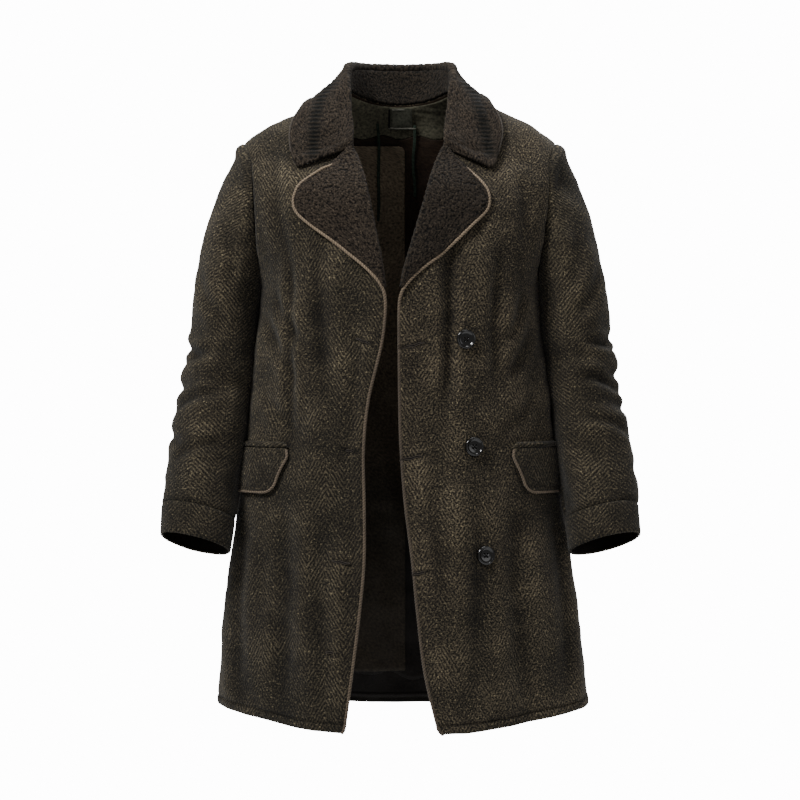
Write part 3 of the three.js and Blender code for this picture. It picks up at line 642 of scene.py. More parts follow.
def noiseNode(tree, vector, scale, detail, output=0):
    inputs = {"Vector": vector, "Scale": scale, "Detail": detail}
    return newNode(tree, "ShaderNodeTexNoise", inputs).outputs[output]


def paintedValue(tree, name):
    return newNode(tree, "ShaderNodeAttribute", attribute_name=name).outputs["Fac"]


# The zigzag of a herringbone: slanting twill lines that turn back at each column, broken into short dashes.
def herringboneGroup():
    group, given, result = newGroup(
        "herringboneWeave",
        [
            ("Vector", vectorSocket, None),
            ("Column", floatSocket, 0.026),
            ("Pitch", floatSocket, 0.009),
            ("Slope", floatSocket, 1.7),
            ("Wobble", floatSocket, 0.005),
        ],
        [("Lines", floatSocket), ("Dashes", floatSocket)],
    )
    vector, wobble = given.outputs["Vector"], given.outputs["Wobble"]
    math3 = "ShaderNodeVectorMath"
    wander = noiseNode(group, vector, 38.0, 2.0, "Color")
    offset = newNode(group, math3, {0: wander, 1: (0.5, 0.5, 0.5)}, operation="SUBTRACT").outputs[0]
    scaled = newNode(group, math3, {0: offset, "Scale": wobble}, operation="SCALE").outputs[0]
    moved = newNode(group, math3, {0: vector, 1: scaled}, operation="ADD").outputs[0]
    u, v = newNode(group, "ShaderNodeSeparateXYZ", {0: moved}).outputs[:2]
    column = calc(group, "PINGPONG", u, given.outputs["Column"])
    rise = calc(group, "MULTIPLY", column, given.outputs["Slope"])
    phase = calc(group, "DIVIDE", calc(group, "SUBTRACT", v, rise), given.outputs["Pitch"])
    wave = calc(group, "SINE", calc(group, "MULTIPLY", phase, 2 * math.pi))
    line = calc(group, "MULTIPLY_ADD", wave, 0.5, 0.5)
    along = calc(group, "DIVIDE", u, 0.0021)
    row = calc(group, "MULTIPLY", phase, 1.6)
    thread = newNode(group, "ShaderNodeCombineXYZ", {0: along, 1: row, 2: 0.0}).outputs[0]
    dashes = calc(group, "MULTIPLY_ADD", noiseNode(group, thread, 0.8, 1.0), 3.2, -1.1)
    group.links.new(line, result.inputs["Lines"])
    group.links.new(clampNode(group, dashes), result.inputs["Dashes"])
    return group


# Wool's uneven tone: nubs, fine hair and slow shade across the cloth.
def napGroup():
    group, given, result = newGroup(
        "woolNap",
        [("Vector", vectorSocket, None), ("Nub", floatSocket, 420.0), ("Hair", floatSocket, 1500.0)],
        [("Nubs", floatSocket), ("Hairs", floatSocket), ("Shade", floatSocket), ("Flecks", floatSocket)],
    )
    vector = given.outputs["Vector"]
    flecks = calc(group, "SUBTRACT", noiseNode(group, vector, 300.0, 1.0), 0.62)
    made = {
        "Nubs": noiseNode(group, vector, given.outputs["Nub"], 3.0),
        "Hairs": noiseNode(group, vector, given.outputs["Hair"], 2.0),
        "Shade": noiseNode(group, vector, 14.0, 3.0),
        "Flecks": clampNode(group, calc(group, "MULTIPLY", flecks, 7.0)),
    }
    for name, value in made.items():
        group.links.new(value, result.inputs[name])
    return group


herringbone = herringboneGroup()
nap = napGroup()


def newMaterial(name, roughness, **constants):
    material = bpy.data.materials.new(name)
    material.use_nodes = True
    tree = material.node_tree
    shader = tree.nodes["Principled BSDF"]
    shader.inputs["Roughness"].default_value = roughness
    for key, value in constants.items():
        shader.inputs[key.replace("_", " ")].default_value = value
    return material, tree, shader


def clothVector(tree):
    return newNode(tree, "ShaderNodeUVMap", uv_map="cloth").outputs[0]


def finish(tree, shader, color, height, distance):
    tree.links.new(color, shader.inputs["Base Color"])
    relief = newNode(tree, "ShaderNodeBump", {"Height": height, "Distance": distance})
    tree.links.new(relief.outputs[0], shader.inputs["Normal"])


def tweedMaterial(name, look):
    material, tree, shader = newMaterial(
        name, 0.95, Sheen_Weight=0.06, Sheen_Roughness=0.5, Specular_IOR_Level=0.15
    )
    vector = clothVector(tree)
    column, pitch = look["column"] * mm, look["pitch"] * mm
    weave = useGroup(tree, herringbone, Vector=vector, Column=column, Pitch=pitch, Slope=look["slope"])
    wool = useGroup(tree, nap, Vector=vector)
    dash = calc(tree, "MULTIPLY_ADD", weave["Dashes"], 0.9, 0.1)
    patches = mapRange(tree, wool["Shade"], 0.38, 0.66, 0.35, 1.15)
    clear = calc(tree, "MULTIPLY", patches, look["contrast"])
    lines = calc(tree, "POWER", weave["Lines"], 1.4)
    lines = calc(tree, "MULTIPLY", lines, calc(tree, "MULTIPLY", dash, clear))
    grain = calc(tree, "MULTIPLY_ADD", wool["Nubs"], 2.0, -0.92)
    grain = calc(tree, "MULTIPLY", grain, look["grain"])
    color = blendColors(tree, clampNode(tree, calc(tree, "ADD", lines, grain)), look["dark"], look["light"])
    color = blendColors(tree, calc(tree, "MULTIPLY", wool["Flecks"], look["flecks"]), color, look["fleck"])
    # painted shade in the fold troughs and painted light on the ridges
    shade = calc(tree, "MULTIPLY_ADD", paintedValue(tree, "relief"), look["folds"], 0.5 - look["folds"] / 2)
    shade = calc(tree, "MULTIPLY_ADD", wool["Shade"], 1.0, shade)
    up = objectSpot(tree)[1][2]
    # painted shade: the tweed darker toward the hem, where less light falls
    shade = calc(tree, "MULTIPLY", shade, mapRange(tree, up, -0.62, -0.42, look["skirtShade"], 1.0))
    color = dimColor(tree, color, shade)
    height = calc(tree, "ADD", calc(tree, "MULTIPLY", lines, 0.5), calc(tree, "MULTIPLY", wool["Nubs"], 0.9))
    height = calc(tree, "ADD", height, calc(tree, "MULTIPLY", wool["Hairs"], 0.3))
    finish(tree, shader, color, height, 0.0015)
    return material


def crumbMaterial(name, look):
    material, tree, shader = newMaterial(
        name, 0.95, Sheen_Weight=0.05, Sheen_Roughness=0.5, Specular_IOR_Level=0.12
    )
    wool = useGroup(tree, nap, Vector=clothVector(tree), Nub=430.0, Hair=1700.0)
    tone = calc(tree, "MULTIPLY_ADD", wool["Nubs"], 3.0, -1.95)
    # painted shade in the pits between the nubs and painted light on their tops
    tone = calc(tree, "MULTIPLY_ADD", paintedValue(tree, "relief"), 1.5, tone)
    color = blendColors(tree, clampNode(tree, tone), look["dark"], look["light"])
    color = blendColors(tree, calc(tree, "MULTIPLY", wool["Flecks"], look["flecks"]), color, look["fleck"])
    # painted shade: the collar's band, groove and stand, and the wearer's left lapel, darken toward this
    # colour
    color = blendColors(tree, paintedValue(tree, "bandShade"), color, look["bandShade"])
    height = calc(tree, "ADD", wool["Nubs"], calc(tree, "MULTIPLY", wool["Hairs"], 0.4))
    finish(tree, shader, color, height, 0.0014)
    return material


# Painted shade: plain cloths grow darker down inside the coat, where no light reaches, and some toward the
# wearer's left, where the inside lies in shade.
def plainCloth(name, look):
    material, tree, shader = newMaterial(
        name, look.get("roughness", 0.7), Sheen_Weight=0.02, Specular_IOR_Level=0.12
    )
    spot, (across, _, up) = objectSpot(tree)
    vector = spot if "side" in look else clothVector(tree)  # "side": painted shade, how light it stays at the wearer's left
    wool = useGroup(tree, nap, Vector=vector, Nub=260.0, Hair=900.0)
    tone = clampNode(tree, calc(tree, "MULTIPLY_ADD", wool["Nubs"], 1.8, -0.4))
    color = blendColors(tree, tone, look["dark"], look["light"])
    deep = mapRange(tree, up, -0.6, -0.12, look.get("deep", 0.35), 1.0)
    shade = calc(tree, "MULTIPLY", calc(tree, "MULTIPLY_ADD", wool["Shade"], 0.9, 0.5), deep)
    # painted shade toward the wearer's left
    shade = calc(tree, "MULTIPLY", shade, mapRange(tree, across, -0.01, 0.08, 1.0, look.get("side", 1.0)))
    color = dimColor(tree, color, shade)
    height = calc(tree, "ADD", wool["Nubs"], calc(tree, "MULTIPLY", wool["Hairs"], 0.5))
    finish(tree, shader, color, height, 0.0003)
    return material


def cordMaterial(name, look):
    material, tree, shader = newMaterial(name, 0.8, Sheen_Weight=0.1, Specular_IOR_Level=0.3)
    wool = useGroup(tree, nap, Vector=clothVector(tree), Nub=600.0, Hair=2200.0)
    tone = calc(tree, "MULTIPLY_ADD", wool["Nubs"], 1.6, 0.1)
    # painted shade in the grooves between the strands
    tone = calc(tree, "MULTIPLY", paintedValue(tree, "relief"), tone)
    color = blendColors(tree, clampNode(tree, tone), look["dark"], look["light"])
    low = look.get("low", 1.0)  # painted shade: how light it stays below the lapels
    # painted light on the lapels and painted shade below them, with the wool's uneven tone
    lit = mapRange(tree, objectSpot(tree)[1][2], -0.36, -0.24, low, 1.1)
    litAndMottled = calc(tree, "MULTIPLY", lit, calc(tree, "MULTIPLY_ADD", wool["Shade"], 1.2, 0.4))
    color = dimColor(tree, color, litAndMottled)
    finish(tree, shader, color, calc(tree, "ADD", wool["Nubs"], wool["Hairs"]), 0.0004)
    return material


def rgb(red, green, blue):
    linear = [((c / 255 + 0.055) / 1.055) ** 2.4 if c > 10 else c / 255 / 12.92 for c in (red, green, blue)]
    return (*linear, 1.0)


tweedLook = {
    "column": 27,
    "pitch": 8.6,
    "slope": 1.65,
    "contrast": 0.9,
    "grain": 1.0,
    "flecks": 0.8,
    "folds": 1.25,  # painted shade in the troughs and painted light on the ridges: how far they go
    # painted shade: how light the tweed stays toward the hem
    "skirtShade": 0.8,
    "dark": rgb(15, 13, 10),
    "light": rgb(84, 76, 60),
    "fleck": rgb(122, 111, 87),
}
tweedFront = tweedMaterial("herringbone tweed", tweedLook)
fleckedLook = {"skirtShade": 0.92, "contrast": 0.66, "grain": 1.2, "flecks": 1.0, "light": rgb(100, 90, 72)}
tweedFlecked = tweedMaterial("flecked tweed", {**tweedLook, **fleckedLook})
tweedSleeve = tweedMaterial("sleeve tweed", {**tweedLook, "column": 40, "slope": 0.8, "pitch": 6.2})
crumb = crumbMaterial(
    "boiled wool",
    {
        "dark": rgb(6, 4, 3),
        "light": rgb(59, 51, 42),
        "flecks": 0.8,
        "fleck": rgb(88, 77, 63),
        # painted shade: the colour that the shaded parts of the collar and lapel darken toward
        "bandShade": rgb(3, 5, 4),
    },
)
pipingLook = {"dark": rgb(26, 21, 16), "light": rgb(138, 120, 98)}
# the two front cords are one cord with more or less painted shade below the lapels
pipingCords = {
    -1: cordMaterial("right piping cord", {**pipingLook, "low": 0.52}),
    1: cordMaterial("left piping cord", {**pipingLook, "low": 0.34}),
}
flapCord = cordMaterial("flap piping cord", {"dark": rgb(30, 25, 20), "light": rgb(116, 101, 83)})
mutedCord = cordMaterial("muted cord", {"dark": rgb(22, 19, 16), "light": rgb(66, 57, 47)})
insideLooks = {  # dark tone, light tone, and what else each cloth has: its roughness, and the painted shade of "deep" and "side"
    "lining satin": (rgb(22, 15, 11), rgb(52, 40, 30), {"roughness": 0.6, "deep": 0.16}),
    "facing twill": (rgb(42, 44, 36), rgb(110, 106, 88), {"roughness": 0.85, "side": 0.6}),
    "panel satin": (rgb(62, 54, 44), rgb(140, 125, 104), {"roughness": 0.65, "deep": 0.13}),
    "ribbon": (rgb(24, 33, 27), rgb(54, 66, 55), {"roughness": 0.8}),
    "blank label": (rgb(38, 40, 34), rgb(88, 88, 76), {"roughness": 0.8, "side": 0.7}),
    "label thread": (rgb(60, 60, 54), rgb(118, 116, 106), {"roughness": 0.8}),
    # dark thread for stitches and buttons, used too as painted shade in the buttonhole slits and painted
    # shadow beside the label
    "dark thread and shade": (rgb(6, 5, 4), rgb(24, 20, 16), {}),
}
liningCloth, facingCloth, panelCloth, tapeCloth, labelCloth, labelThread, darkThreadAndShade = (
    plainCloth(name, {"dark": dark, "light": light, **more})
    for name, (dark, light, more) in insideLooks.items()
)
print("materials made")

# Soft creases on the fronts, in the cloth's flat measures, from the wearer's centre out and down.
frontCreases = {
    -1: table(
        "u0 v0 u1 v1 width depth bow",
        (-118, 230, -104, 450, 12, 4.6, 6),
        (-172, 216, -168, 500, 8, 5.0, -4),
        (-190, 100, -184, 250, 12, 3.6, -5),
        (-62, 330, -76, 560, 11, 3.4, -6),
        (-206, 292, -140, 372, 10, 4.2, 6),
        (-232, 330, -158, 430, 11, 4.4, -7),
        (-112, 560, -104, 880, 15, 4.0, 9),
        (-176, 590, -190, 905, 16, 4.4, -9),
        (-58, 600, -66, 860, 11, 2.6, 6),
        (-244, 610, -262, 890, 14, 4.0, 8),
        (-96, 120, -116, 236, 11, 3.0, -6),
        (-214, 440, -150, 500, 9, 2.6, 6),
    ),
    1: table(
        "u0 v0 u1 v1 width depth bow",
        (70, 228, 66, 480, 9, 7.0, -4),
        (150, 236, 146, 450, 11, 5.2, 5),
        (206, 290, 150, 380, 10, 4.2, -6),
        (230, 340, 160, 436, 11, 4.2, 7),
        (52, 520, 70, 780, 12, 3.4, 6),
        (110, 560, 104, 890, 15, 4.2, -9),
        (180, 600, 200, 905, 16, 4.4, 9),
        (256, 620, 270, 890, 14, 4.0, -8),
        (104, 118, 120, 240, 11, 3.0, 6),
        (176, 120, 190, 225, 11, 3.2, -6),
        (212, 446, 150, 500, 9, 2.6, -6),
    ),
}
backCreases = table(
    "u0 v0 u1 v1 width depth bow",
    (-62, 120, -78, 320, 15, 3.6, 7),
    (74, 110, 86, 330, 15, 3.8, -8),
    (-196, 300, -112, 400, 11, 4.2, -7),
    (200, 292, 122, 396, 11, 4.4, 7),
    (-214, 360, -130, 470, 10, 3.8, 6),
    (216, 350, 140, 462, 10, 3.8, -6),
    (-24, 380, -14, 660, 14, 3.2, 8),
    (-148, 480, -160, 850, 16, 4.6, -9),
    (118, 500, 116, 880, 16, 4.6, 9),
    (-78, 600, -84, 905, 14, 4.2, 7),
    (46, 620, 56, 905, 14, 4.0, -7),
    (224, 560, 242, 890, 15, 4.4, -7),
    (-236, 590, -248, 895, 15, 4.2, 7),
    (12, 70, 6, 210, 14, 2.4, 5),
)


# The drape as waves of four sizes: depth, how far they run down the cloth, and size.
drapeWaves = ((3.4, 0.35, 42), (1.7, 1, 40), (0.8, 1, 19), (0.3, 1, 8))


def drape(u, v, seed):
    waves = enumerate(drapeWaves)
    return sum(depth * softNoise(u, v * run, size, seed + k) for k, (depth, run, size) in waves)


# The sides fill out under the arms, until the sleeves lie close against them.
sideSwell = {"depth": 6.5, "spread": 17, "ring": 6.15, "reach": 1.15}


def swellAt(turn, ring):
    aside = np.abs(np.abs(turnBetween(turn, 0)) - 90)
    level = ring - sideSwell["ring"]
    return sideSwell["depth"] * bump(aside, sideSwell["spread"]) * bump(level, sideSwell["reach"])


# A sewn edge dips, so that a seam shows as a soft groove.
def seamDip(distance, width=2.2, depth=1.1):
    return -depth * bump(distance, width)


hemStitch = 11.5  # height of the hem's stitching above its edge
hemForm = {"groove": (-1.8, 1.6), "swell": (0.9, 4)}  # depth and width at the stitching and below it


def hemGroove(v, edge):
    (deep, narrow), (full, wide) = hemForm.values()
    return deep * bump(edge - v - hemStitch, narrow) + full * bump(edge - v - hemStitch / 2, wide)


# Painted shade of the folds, as the materials read it: troughs darker, ridges lighter. 0.5 is level, and 1 is
# this many millimetres up.
foldReach = 8


def foldShade(height):
    return np.clip(0.5 + height / (2 * foldReach), 0.05, 0.95)


def finishPanel(name, points, normals, height, folds, uv, node, materials):
    outer, fresh = raised(points, normals, height)
    inner = outer - fresh * wool
    piece = clothShell(name, outer, inner, uv, materials, relief=foldShade(folds))
    declareCloth(piece, outer, node)
    return outer, fresh


# Buttonholes: the middle of each seen from the front, its length, and its rise to each millimetre across.
buttonholes = table(
    "side x z length slant",
    (-1, -52, -367, 25, -0.36),
    (-1, -72, -524, 20, -0.2),
    (-1, -84, -683, 28, -0.14),
    (-1, -97, -812, 20, -0.1),
    (1, 18, -373, 36, 0.26),
    (1, 16, -534, 36, 0.2),
    (1, 28, -698, 24, 0.16),
)


pucker = {"above": (1.4, 7, 5), "slit": (-2.6, 0, 3), "below": (1.1, -7, 5)}  # height, place, width


def puckers(side, points):
    height = np.zeros(points.shape[:2])
    for hand, x, z, length, slant in zip(*buttonholes.values()):
        if hand == side:
            aside = points[..., 0] - x
            along = smooth(length * 0.75 - np.abs(aside), 0, length * 0.35)
            down = points[..., 2] - z - slant * aside
            height += along * sum(high * bump(down - at, wide) for high, at, wide in pucker.values())
    return height


# How far the folds move a front or the back out of its plain form, for the pieces that lie on it too.
def frontFolds(side, turn, ring):
    turn, ring = np.broadcast_arrays(turn, ring)
    u, v = clothAt(turn, ring)
    edge = clothAt(openingTurn(side, ring[:, 0], 2 * cut["pipingRadius"] + seamGap), ring[:, 0])[0][:, None]
    seam = clothAt(seamTurn(side, ring[:, 0], False), ring[:, 0])[0][:, None]
    height = drape(u, v, 20 + side) + creased(u, v, frontCreases[side])
    return height * smooth(np.abs(u - edge), 0, 26) * smooth(np.abs(u - seam), 0, 14)


def backFolds(turn, ring):
    turn, ring = np.broadcast_arrays(turn, ring)
    u, v = clothAt(turn, ring)
    middle = clothAt(np.full_like(ring, 180), ring)[0]
    seams = [clothAt(backTurn(ring, t), ring)[0] for t in (0, 1)]
    edges = np.minimum(np.abs(u - seams[0]), np.abs(u - seams[1]))
    below = v - clothAt(turn, np.zeros_like(ring))[1]
    height = drape(middle - u, v, 40) + creased(middle - u, v, backCreases)
    return height * smooth(edges, 0, 14) * smooth(below, 0, 30)


def makeFront(side):
    rings = ringSteps(0.04)
    ring = rings[:, None]
    inset = 2 * cut["pipingRadius"] + seamGap
    tucked = smooth(5.2 - rings, 0, 0.3) * smooth(rings - cut["gorge"], 0, 0.2)  # under the lapel's fold
    start = mix(openingTurn(side, rings, inset), openingTurn(side, rings, inset - 2.2), tucked)[:, None]
    end = seamTurn(side, rings, False)[:, None]
    t = np.linspace(0, 1, 66)[None, :]
    cutBack = side * cut["armholeFront"] * armholeOpen(rings)[:, None]
    turn = mix(start, end, t) - cutBack * smooth(t, 0.4, 1)
    points, normals = place(turn, ring)
    u, v = clothAt(turn, ring)
    uv = np.stack([u, v], -1)
    sideEdge = np.abs(u - u[:, -1:])
    height = frontFolds(side, turn, ring)
    gathered = puckers(side, points)
    height = height + seamDip(sideEdge) + hemGroove(v, v[-1:]) + gathered
    # painted shade: the folds, with the side seam, the buttonhole puckers and the hem's stitching darker
    folds = height + 1.5 * seamDip(sideEdge, 5) + 3.5 * gathered + 3 * seamDip(v[-1:] - v - hemStitch)
    height = height + swellAt(turn, ring)
    materials = [tweedFront if side < 0 else tweedFlecked, liningCloth]
    name = f"front_{hands[side]}"
    return finishPanel(f"{name}_tweed", points, normals, height, folds, uv, name, materials)


def backTurn(ring, t):
    across = mix(seamTurn(1, ring, True), 360 + seamTurn(-1, ring, True), t)
    cutBack = cut["armholeBack"] * armholeOpen(ring)
    return across + cutBack * (smooth(1 - t, 0.7, 1) - smooth(t, 0.7, 1))


def makeBack():
    rings = ringSteps(0)
    ring = rings[:, None]
    turn = backTurn(ring, np.linspace(0, 1, 132)[None, :])
    points, normals = place(turn, ring)
    u, v = clothAt(turn, ring)
    u = clothAt(np.full_like(ring, 180), ring)[0] - u
    uv = np.stack([u, v], -1)
    edges = np.minimum(np.abs(u - u[:, :1]), np.abs(u - u[:, -1:]))
    height = backFolds(turn, ring)
    height = height + seamDip(edges) + seamDip(u, 1.8, 0.8) + hemGroove(v, v[-1:])
    # painted shade: the folds, with the side seams, the middle seam and the hem's stitching darker
    folds = height + 1.5 * seamDip(edges, 5) + seamDip(u, 4) + 3 * seamDip(v[-1:] - v - hemStitch)
    height = height + swellAt(turn, ring)
    materials = [tweedFront, liningCloth]
    return finishPanel("back_tweed", points, normals, height, folds, uv, "back", materials)


backForm = makeBack()
frontForms = {side: makeFront(side) for side in (-1, 1)}
print("body panels made")


# Sleeves. The turn starts at the outer side and goes round by the front.
# at is -1 at the armhole and 0 at the first section.
def armholePoint(side, turn):
    s = np.sin(turn)
    high, low = cut["shoulder"], cut["underarm"]
    ring = (high + low) / 2 - (low - high) / 2 * np.cos(turn)
    cutBack = np.where(s > 0, -cut["armholeFront"], cut["armholeBack"]) * np.abs(s) ** 0.8
    return bodyPoint(side * (90 + cutBack), ring)


def sleeveSection(side, turn, at):
    row = rowAt(sleeveSections, at)
    fold = 0
    for where, spread, section, reach, depth in zip(*sleeveFolds[side].values()):
        fold = fold + depth * bump(turnBetween(np.degrees(turn), where), spread) * bump(at - section, reach)
    lean, pitch = np.radians(row["lean"]), np.radians(row["pitch"])
    none = np.zeros_like(lean)
    outward = np.stack([side * np.cos(lean), none, np.sin(lean)], -1)
    forward = np.stack([none, -np.cos(pitch), np.sin(pitch)], -1)
    middle = np.stack([side * row["x"], row["y"], row["z"]], -1)
    wide = ((row["wide"] + fold) * np.cos(turn))[..., None]
    return middle + outward * wide + forward * ((row["deep"] + fold) * np.sin(turn))[..., None]


sleeveHead = {"tucked": 0.6, "leave": 0.122, "arrive": 0.35}  # the last two are shares of the cap's length


def sleevePoint(side, turn, at):
    turn, at = np.broadcast_arrays(np.asarray(turn, float), np.asarray(at, float))
    start = armholePoint(side, turn)
    end = sleeveSection(side, turn, np.zeros_like(at))
    far = np.linalg.norm(end - start, axis=-1)[..., None]
    leave = unit(
        np.stack([side * (0.5 + 0.35 * np.cos(turn)), np.zeros_like(turn), -0.75 + 0.15 * np.cos(turn)], -1)
    )
    arrive = unit(sleeveSection(side, turn, np.full_like(at, 0.1)) - end)
    start = start - leave * sleeveHead["tucked"]  # sewn in, with no gap left
    t = np.clip(at + 1, 0, 1)[..., None]
    second = start + leave * sleeveHead["leave"] * far
    third = end - arrive * sleeveHead["arrive"] * far
    cap = bezier(start, second, third, end, t)
    return np.where((at >= 0)[..., None], sleeveSection(side, turn, np.maximum(at, 0)), cap)


lastSection = len(sleeveSections["x"]) - 1
endLength = math.dist(*([sleeveSections[k][i] for k in "xyz"] for i in (-1, -2)))
cuffSeam = lastSection - cut["cuffDeep"] / endLength
sleeveRound = 59  # radius that the sleeve's flat width is worked out from


# Creases of the sleeves in flat measures: u from the outer side towards the front, and v down
# from the underarm's level.
sleeveCreases = {
    -1: table(
        "u0 v0 u1 v1 width depth bow",
        (-70, 20, 66, 58, 8, 4.6, 7),
        (-16, 84, 100, 48, 8, 4.4, -7),
        (-76, 112, 44, 100, 8, 4.6, 9),
        (6, 150, 114, 110, 8, 4.2, -8),
        (-50, 166, 66, 190, 9, 4.0, 7),
        (36, 218, 124, 184, 8, 3.2, -6),
        (-160, 54, -60, 92, 9, 4.6, 6),
        (-166, 140, -66, 118, 9, 4.2, -6),
        (-96, 238, 14, 266, 10, 3.0, 8),
        (30, -70, 104, 10, 10, 3.8, 8),
        (-62, -110, -92, 0, 11, 3.4, 7),
        (58, -140, 98, -40, 9, 3.4, -7),
        (-20, -60, -8, 40, 13, 3.0, 6),
    ),
    1: table(
        "u0 v0 u1 v1 width depth bow",
        (-76, 12, 66, 40, 8, 4.8, 8),
        (-26, 66, 94, 36, 7, 4.8, -7),
        (-66, 88, 54, 78, 8, 5.0, 9),
        (-4, 126, 110, 86, 8, 4.6, -9),
        (-76, 140, 46, 134, 8, 4.2, 7),
        (16, 186, 118, 146, 8, 3.6, -7),
        (-160, 36, -60, 78, 9, 4.6, -6),
        (-164, 122, -76, 108, 9, 4.2, 6),
        (-86, 224, 26, 244, 10, 3.2, -8),
        (28, -80, 106, 6, 10, 3.8, 8),
        (-68, -116, -94, -8, 11, 3.4, -7),
        (56, -134, 100, -40, 9, 3.4, 7),
        (-12, -50, -20, 30, 13, 3.0, -6),
    ),
}


def sleeveGrid(side, places):
    columns = 96
    turn = (math.pi + np.arange(columns) / columns * 2 * math.pi)[None, :]
    points = sleevePoint(side, turn, places[:, None])
    middle = points.mean(axis=1, keepdims=True)
    normals = facing(gridNormals(points, True), points - middle)
    u = np.broadcast_to(np.linspace(-math.pi, math.pi, columns + 1) * sleeveRound, (len(places), columns + 1))
    v = runLength(np.concatenate([points, points[:, :1]], axis=1))
    v = v - v[np.argmin(np.abs(places))][None, :]
    return points, normals, np.stack([u, v], -1)


def makeSleeve(side):
    cap = np.linspace(-1, 0, 52)[:-1]
    arm = np.linspace(0, cuffSeam - seamGap / endLength, 92)
    places = np.concatenate([cap, arm])
    points, normals, uv = sleeveGrid(side, places)
    u, v = uv[:, :-1, 0], uv[:, :-1, 1]
    fade = smooth(v - v[:1], 2, 26) * smooth(v[-1:] - v, 0, 10)
    height = (drape(u, v, 60 + side) + creased(u, v, sleeveCreases[side])) * fade
    height -= 0.7 * bump(np.abs(np.abs(u) - 62), 1.6) * smooth(v, 20, 60)  # the sleeve's two long seams
    outside = smooth(np.cos(u / sleeveRound), -0.2, 0.8)
    # painted shade: the folds, with the armhole and cuff seams darker
    folds = height + 1.5 * seamDip(v - v[:1], 5) + 1.5 * seamDip(v[-1:] - v, 4)
    height += 5 * bump(v - v[:1] - 12, 11) * outside  # the head's fullness below its seam
    height += seamDip(v - v[:1], 2.2, 1.2) * (1 - outside) + seamDip(v[-1:] - v, 1.6, 1.4)
    height += 4.5 * smooth(-np.cos(u / sleeveRound), 0.3, 1) * bump(v - 130, 95)  # lies close to the body
    outer, fresh = raised(points, normals, height, True)
    name = f"sleeve_{hands[side]}"
    inner = outer - fresh * wool
    materials = [tweedSleeve, liningCloth]
    piece = clothShell(
        f"{name}_tweed", outer, inner, uv, materials, closed=True, relief=foldShade(folds)
    )
    declareCloth(piece, outer, name, True)


def makeCuff(side):
    upper = np.linspace(cuffSeam, lastSection - 0.15, 12)
    places = np.concatenate([upper, np.linspace(lastSection - 0.12, lastSection, 6)])
    points, normals, uv = sleeveGrid(side, places)
    u, v = uv[:, :-1, 0], uv[:, :-1, 1]
    height = drape(u, v, 70 + side) * 0.5 + 0.5
    height += seamDip(v - v[:1], 1.6, 1.2) - 0.7 * smooth(v, v[-1:] - 5, v[-1:])
    outer, fresh = raised(points, normals, height, True)
    name = f"cuff_{hands[side]}"
    inner = outer - fresh * (wool + 0.6)
    piece = clothShell(f"{name}_tweed", outer, inner, uv, [tweedSleeve, liningCloth], closed=True)
    declareCloth(piece, outer, name, True)


for side in (-1, 1):
    makeSleeve(side)
    makeCuff(side)
print("sleeves made")


# The crumbly face of the boiled wool: nubs of two sizes with pits between them.
def crumbRelief(u, v, seed):
    wander = 2.2 * softNoise(u, v, 7, seed + 3)
    nubs = 0.5 * nubNoise(u + wander, v - wander, 3.9, seed) + 0.5 * nubNoise(u, v, 2.6, seed + 1)
    pits = nubNoise(u - wander, v, 6.5, seed + 2)
    return np.clip(nubs * 1.35 - 0.15 - 0.35 * smooth(pits, 0.72, 0.95), 0, 1)


crumbDepth = 1.9  # from the pits to the tops of the nubs


def woolSheet(name, points, like, uv, crumbs, plump, node):
    normals = facing(gridNormals(points), like)
    half = doubled / 2 + plump
    lift = (crumbs - 0.5) * crumbDepth
    outer = points + normals * (half + lift)[..., None]
    inner = points - normals * (doubled / 2 + plump * 0.3 + lift * 0.4)[..., None]
    piece = clothShell(name, outer, inner, uv, [crumb], relief=crumbs, rim=0.5)
    declareCloth(piece, outer, node)
    return piece, normals


# The lapel: round its fold, then out over the chest.
# across is 0 at the panel, 1 past the fold and 2 at the edge.
def lapelEdge(side, at, inset):
    rows = lapelRows[side]
    last = len(rows["foldX"]) - 1
    row = rowAt(rows, at)
    before, after = rowAt(rows, np.maximum(at - 0.3, 0)), rowAt(rows, np.minimum(at + 0.3, last))
    run = unit(np.stack([after["edgeX"] - before["edgeX"], after["edgeZ"] - before["edgeZ"]], -1))
    return row["edgeX"] - side * run[..., 1] * inset, row["edgeZ"] + side * run[..., 0] * inset


def lapelPlace(side, along, across):
    rows = lapelRows[side]
    last = len(rows["foldX"]) - 1
    roll = cut["lapelRoll"]
    reach = roll + doubled / 2 + seamGap
    at = along * last

    def start(spot):
        row = rowAt(rows, spot)
        return place(*bodyAt(row["foldX"] + side * reach, row["foldZ"]), np.full_like(spot, -wool / 2))

    point, normal = start(at)
    radius = mix(0.55, 1, smooth(along, 0, 0.15)) * roll
    slope = start(np.minimum(at + 0.2, last))[0] - start(np.maximum(at - 0.2, 0))[0]
    outward = unit(np.cross(slope, normal))
    outward = np.where((outward[..., :1] * side > 0), -outward, outward)
    turned = np.pi * np.minimum(across, 1)
    half = (
        point
        + outward * (4 * seamGap + radius * np.sin(turned))[..., None]
        + normal * (radius * (1 - np.cos(turned)))[..., None]
    )
    halfNormal = outward * np.sin(turned)[..., None] - normal * np.cos(turned)[..., None]
    foldEnd = point + outward * 4 * seamGap + normal * (2 * radius)[..., None]
    flat = np.maximum(across - 1, 0)
    edgeX, edgeZ = lapelEdge(side, at, 2 * cut["pipingRadius"] + seamGap)
    x, z = mix(foldEnd[..., 0], edgeX, flat), mix(foldEnd[..., 2], edgeZ, flat)
    lift = mix(2 * radius - wool / 2, cut["lapelLift"], smooth(flat, 0, 1))
    spread, spreadNormal = place(*bodyAt(x, z), lift)
    over = (across > 1)[..., None]
    return np.where(over, spread, half), np.where(over, spreadNormal, halfNormal)


lapelStart = 0.04
lapelForms = {}


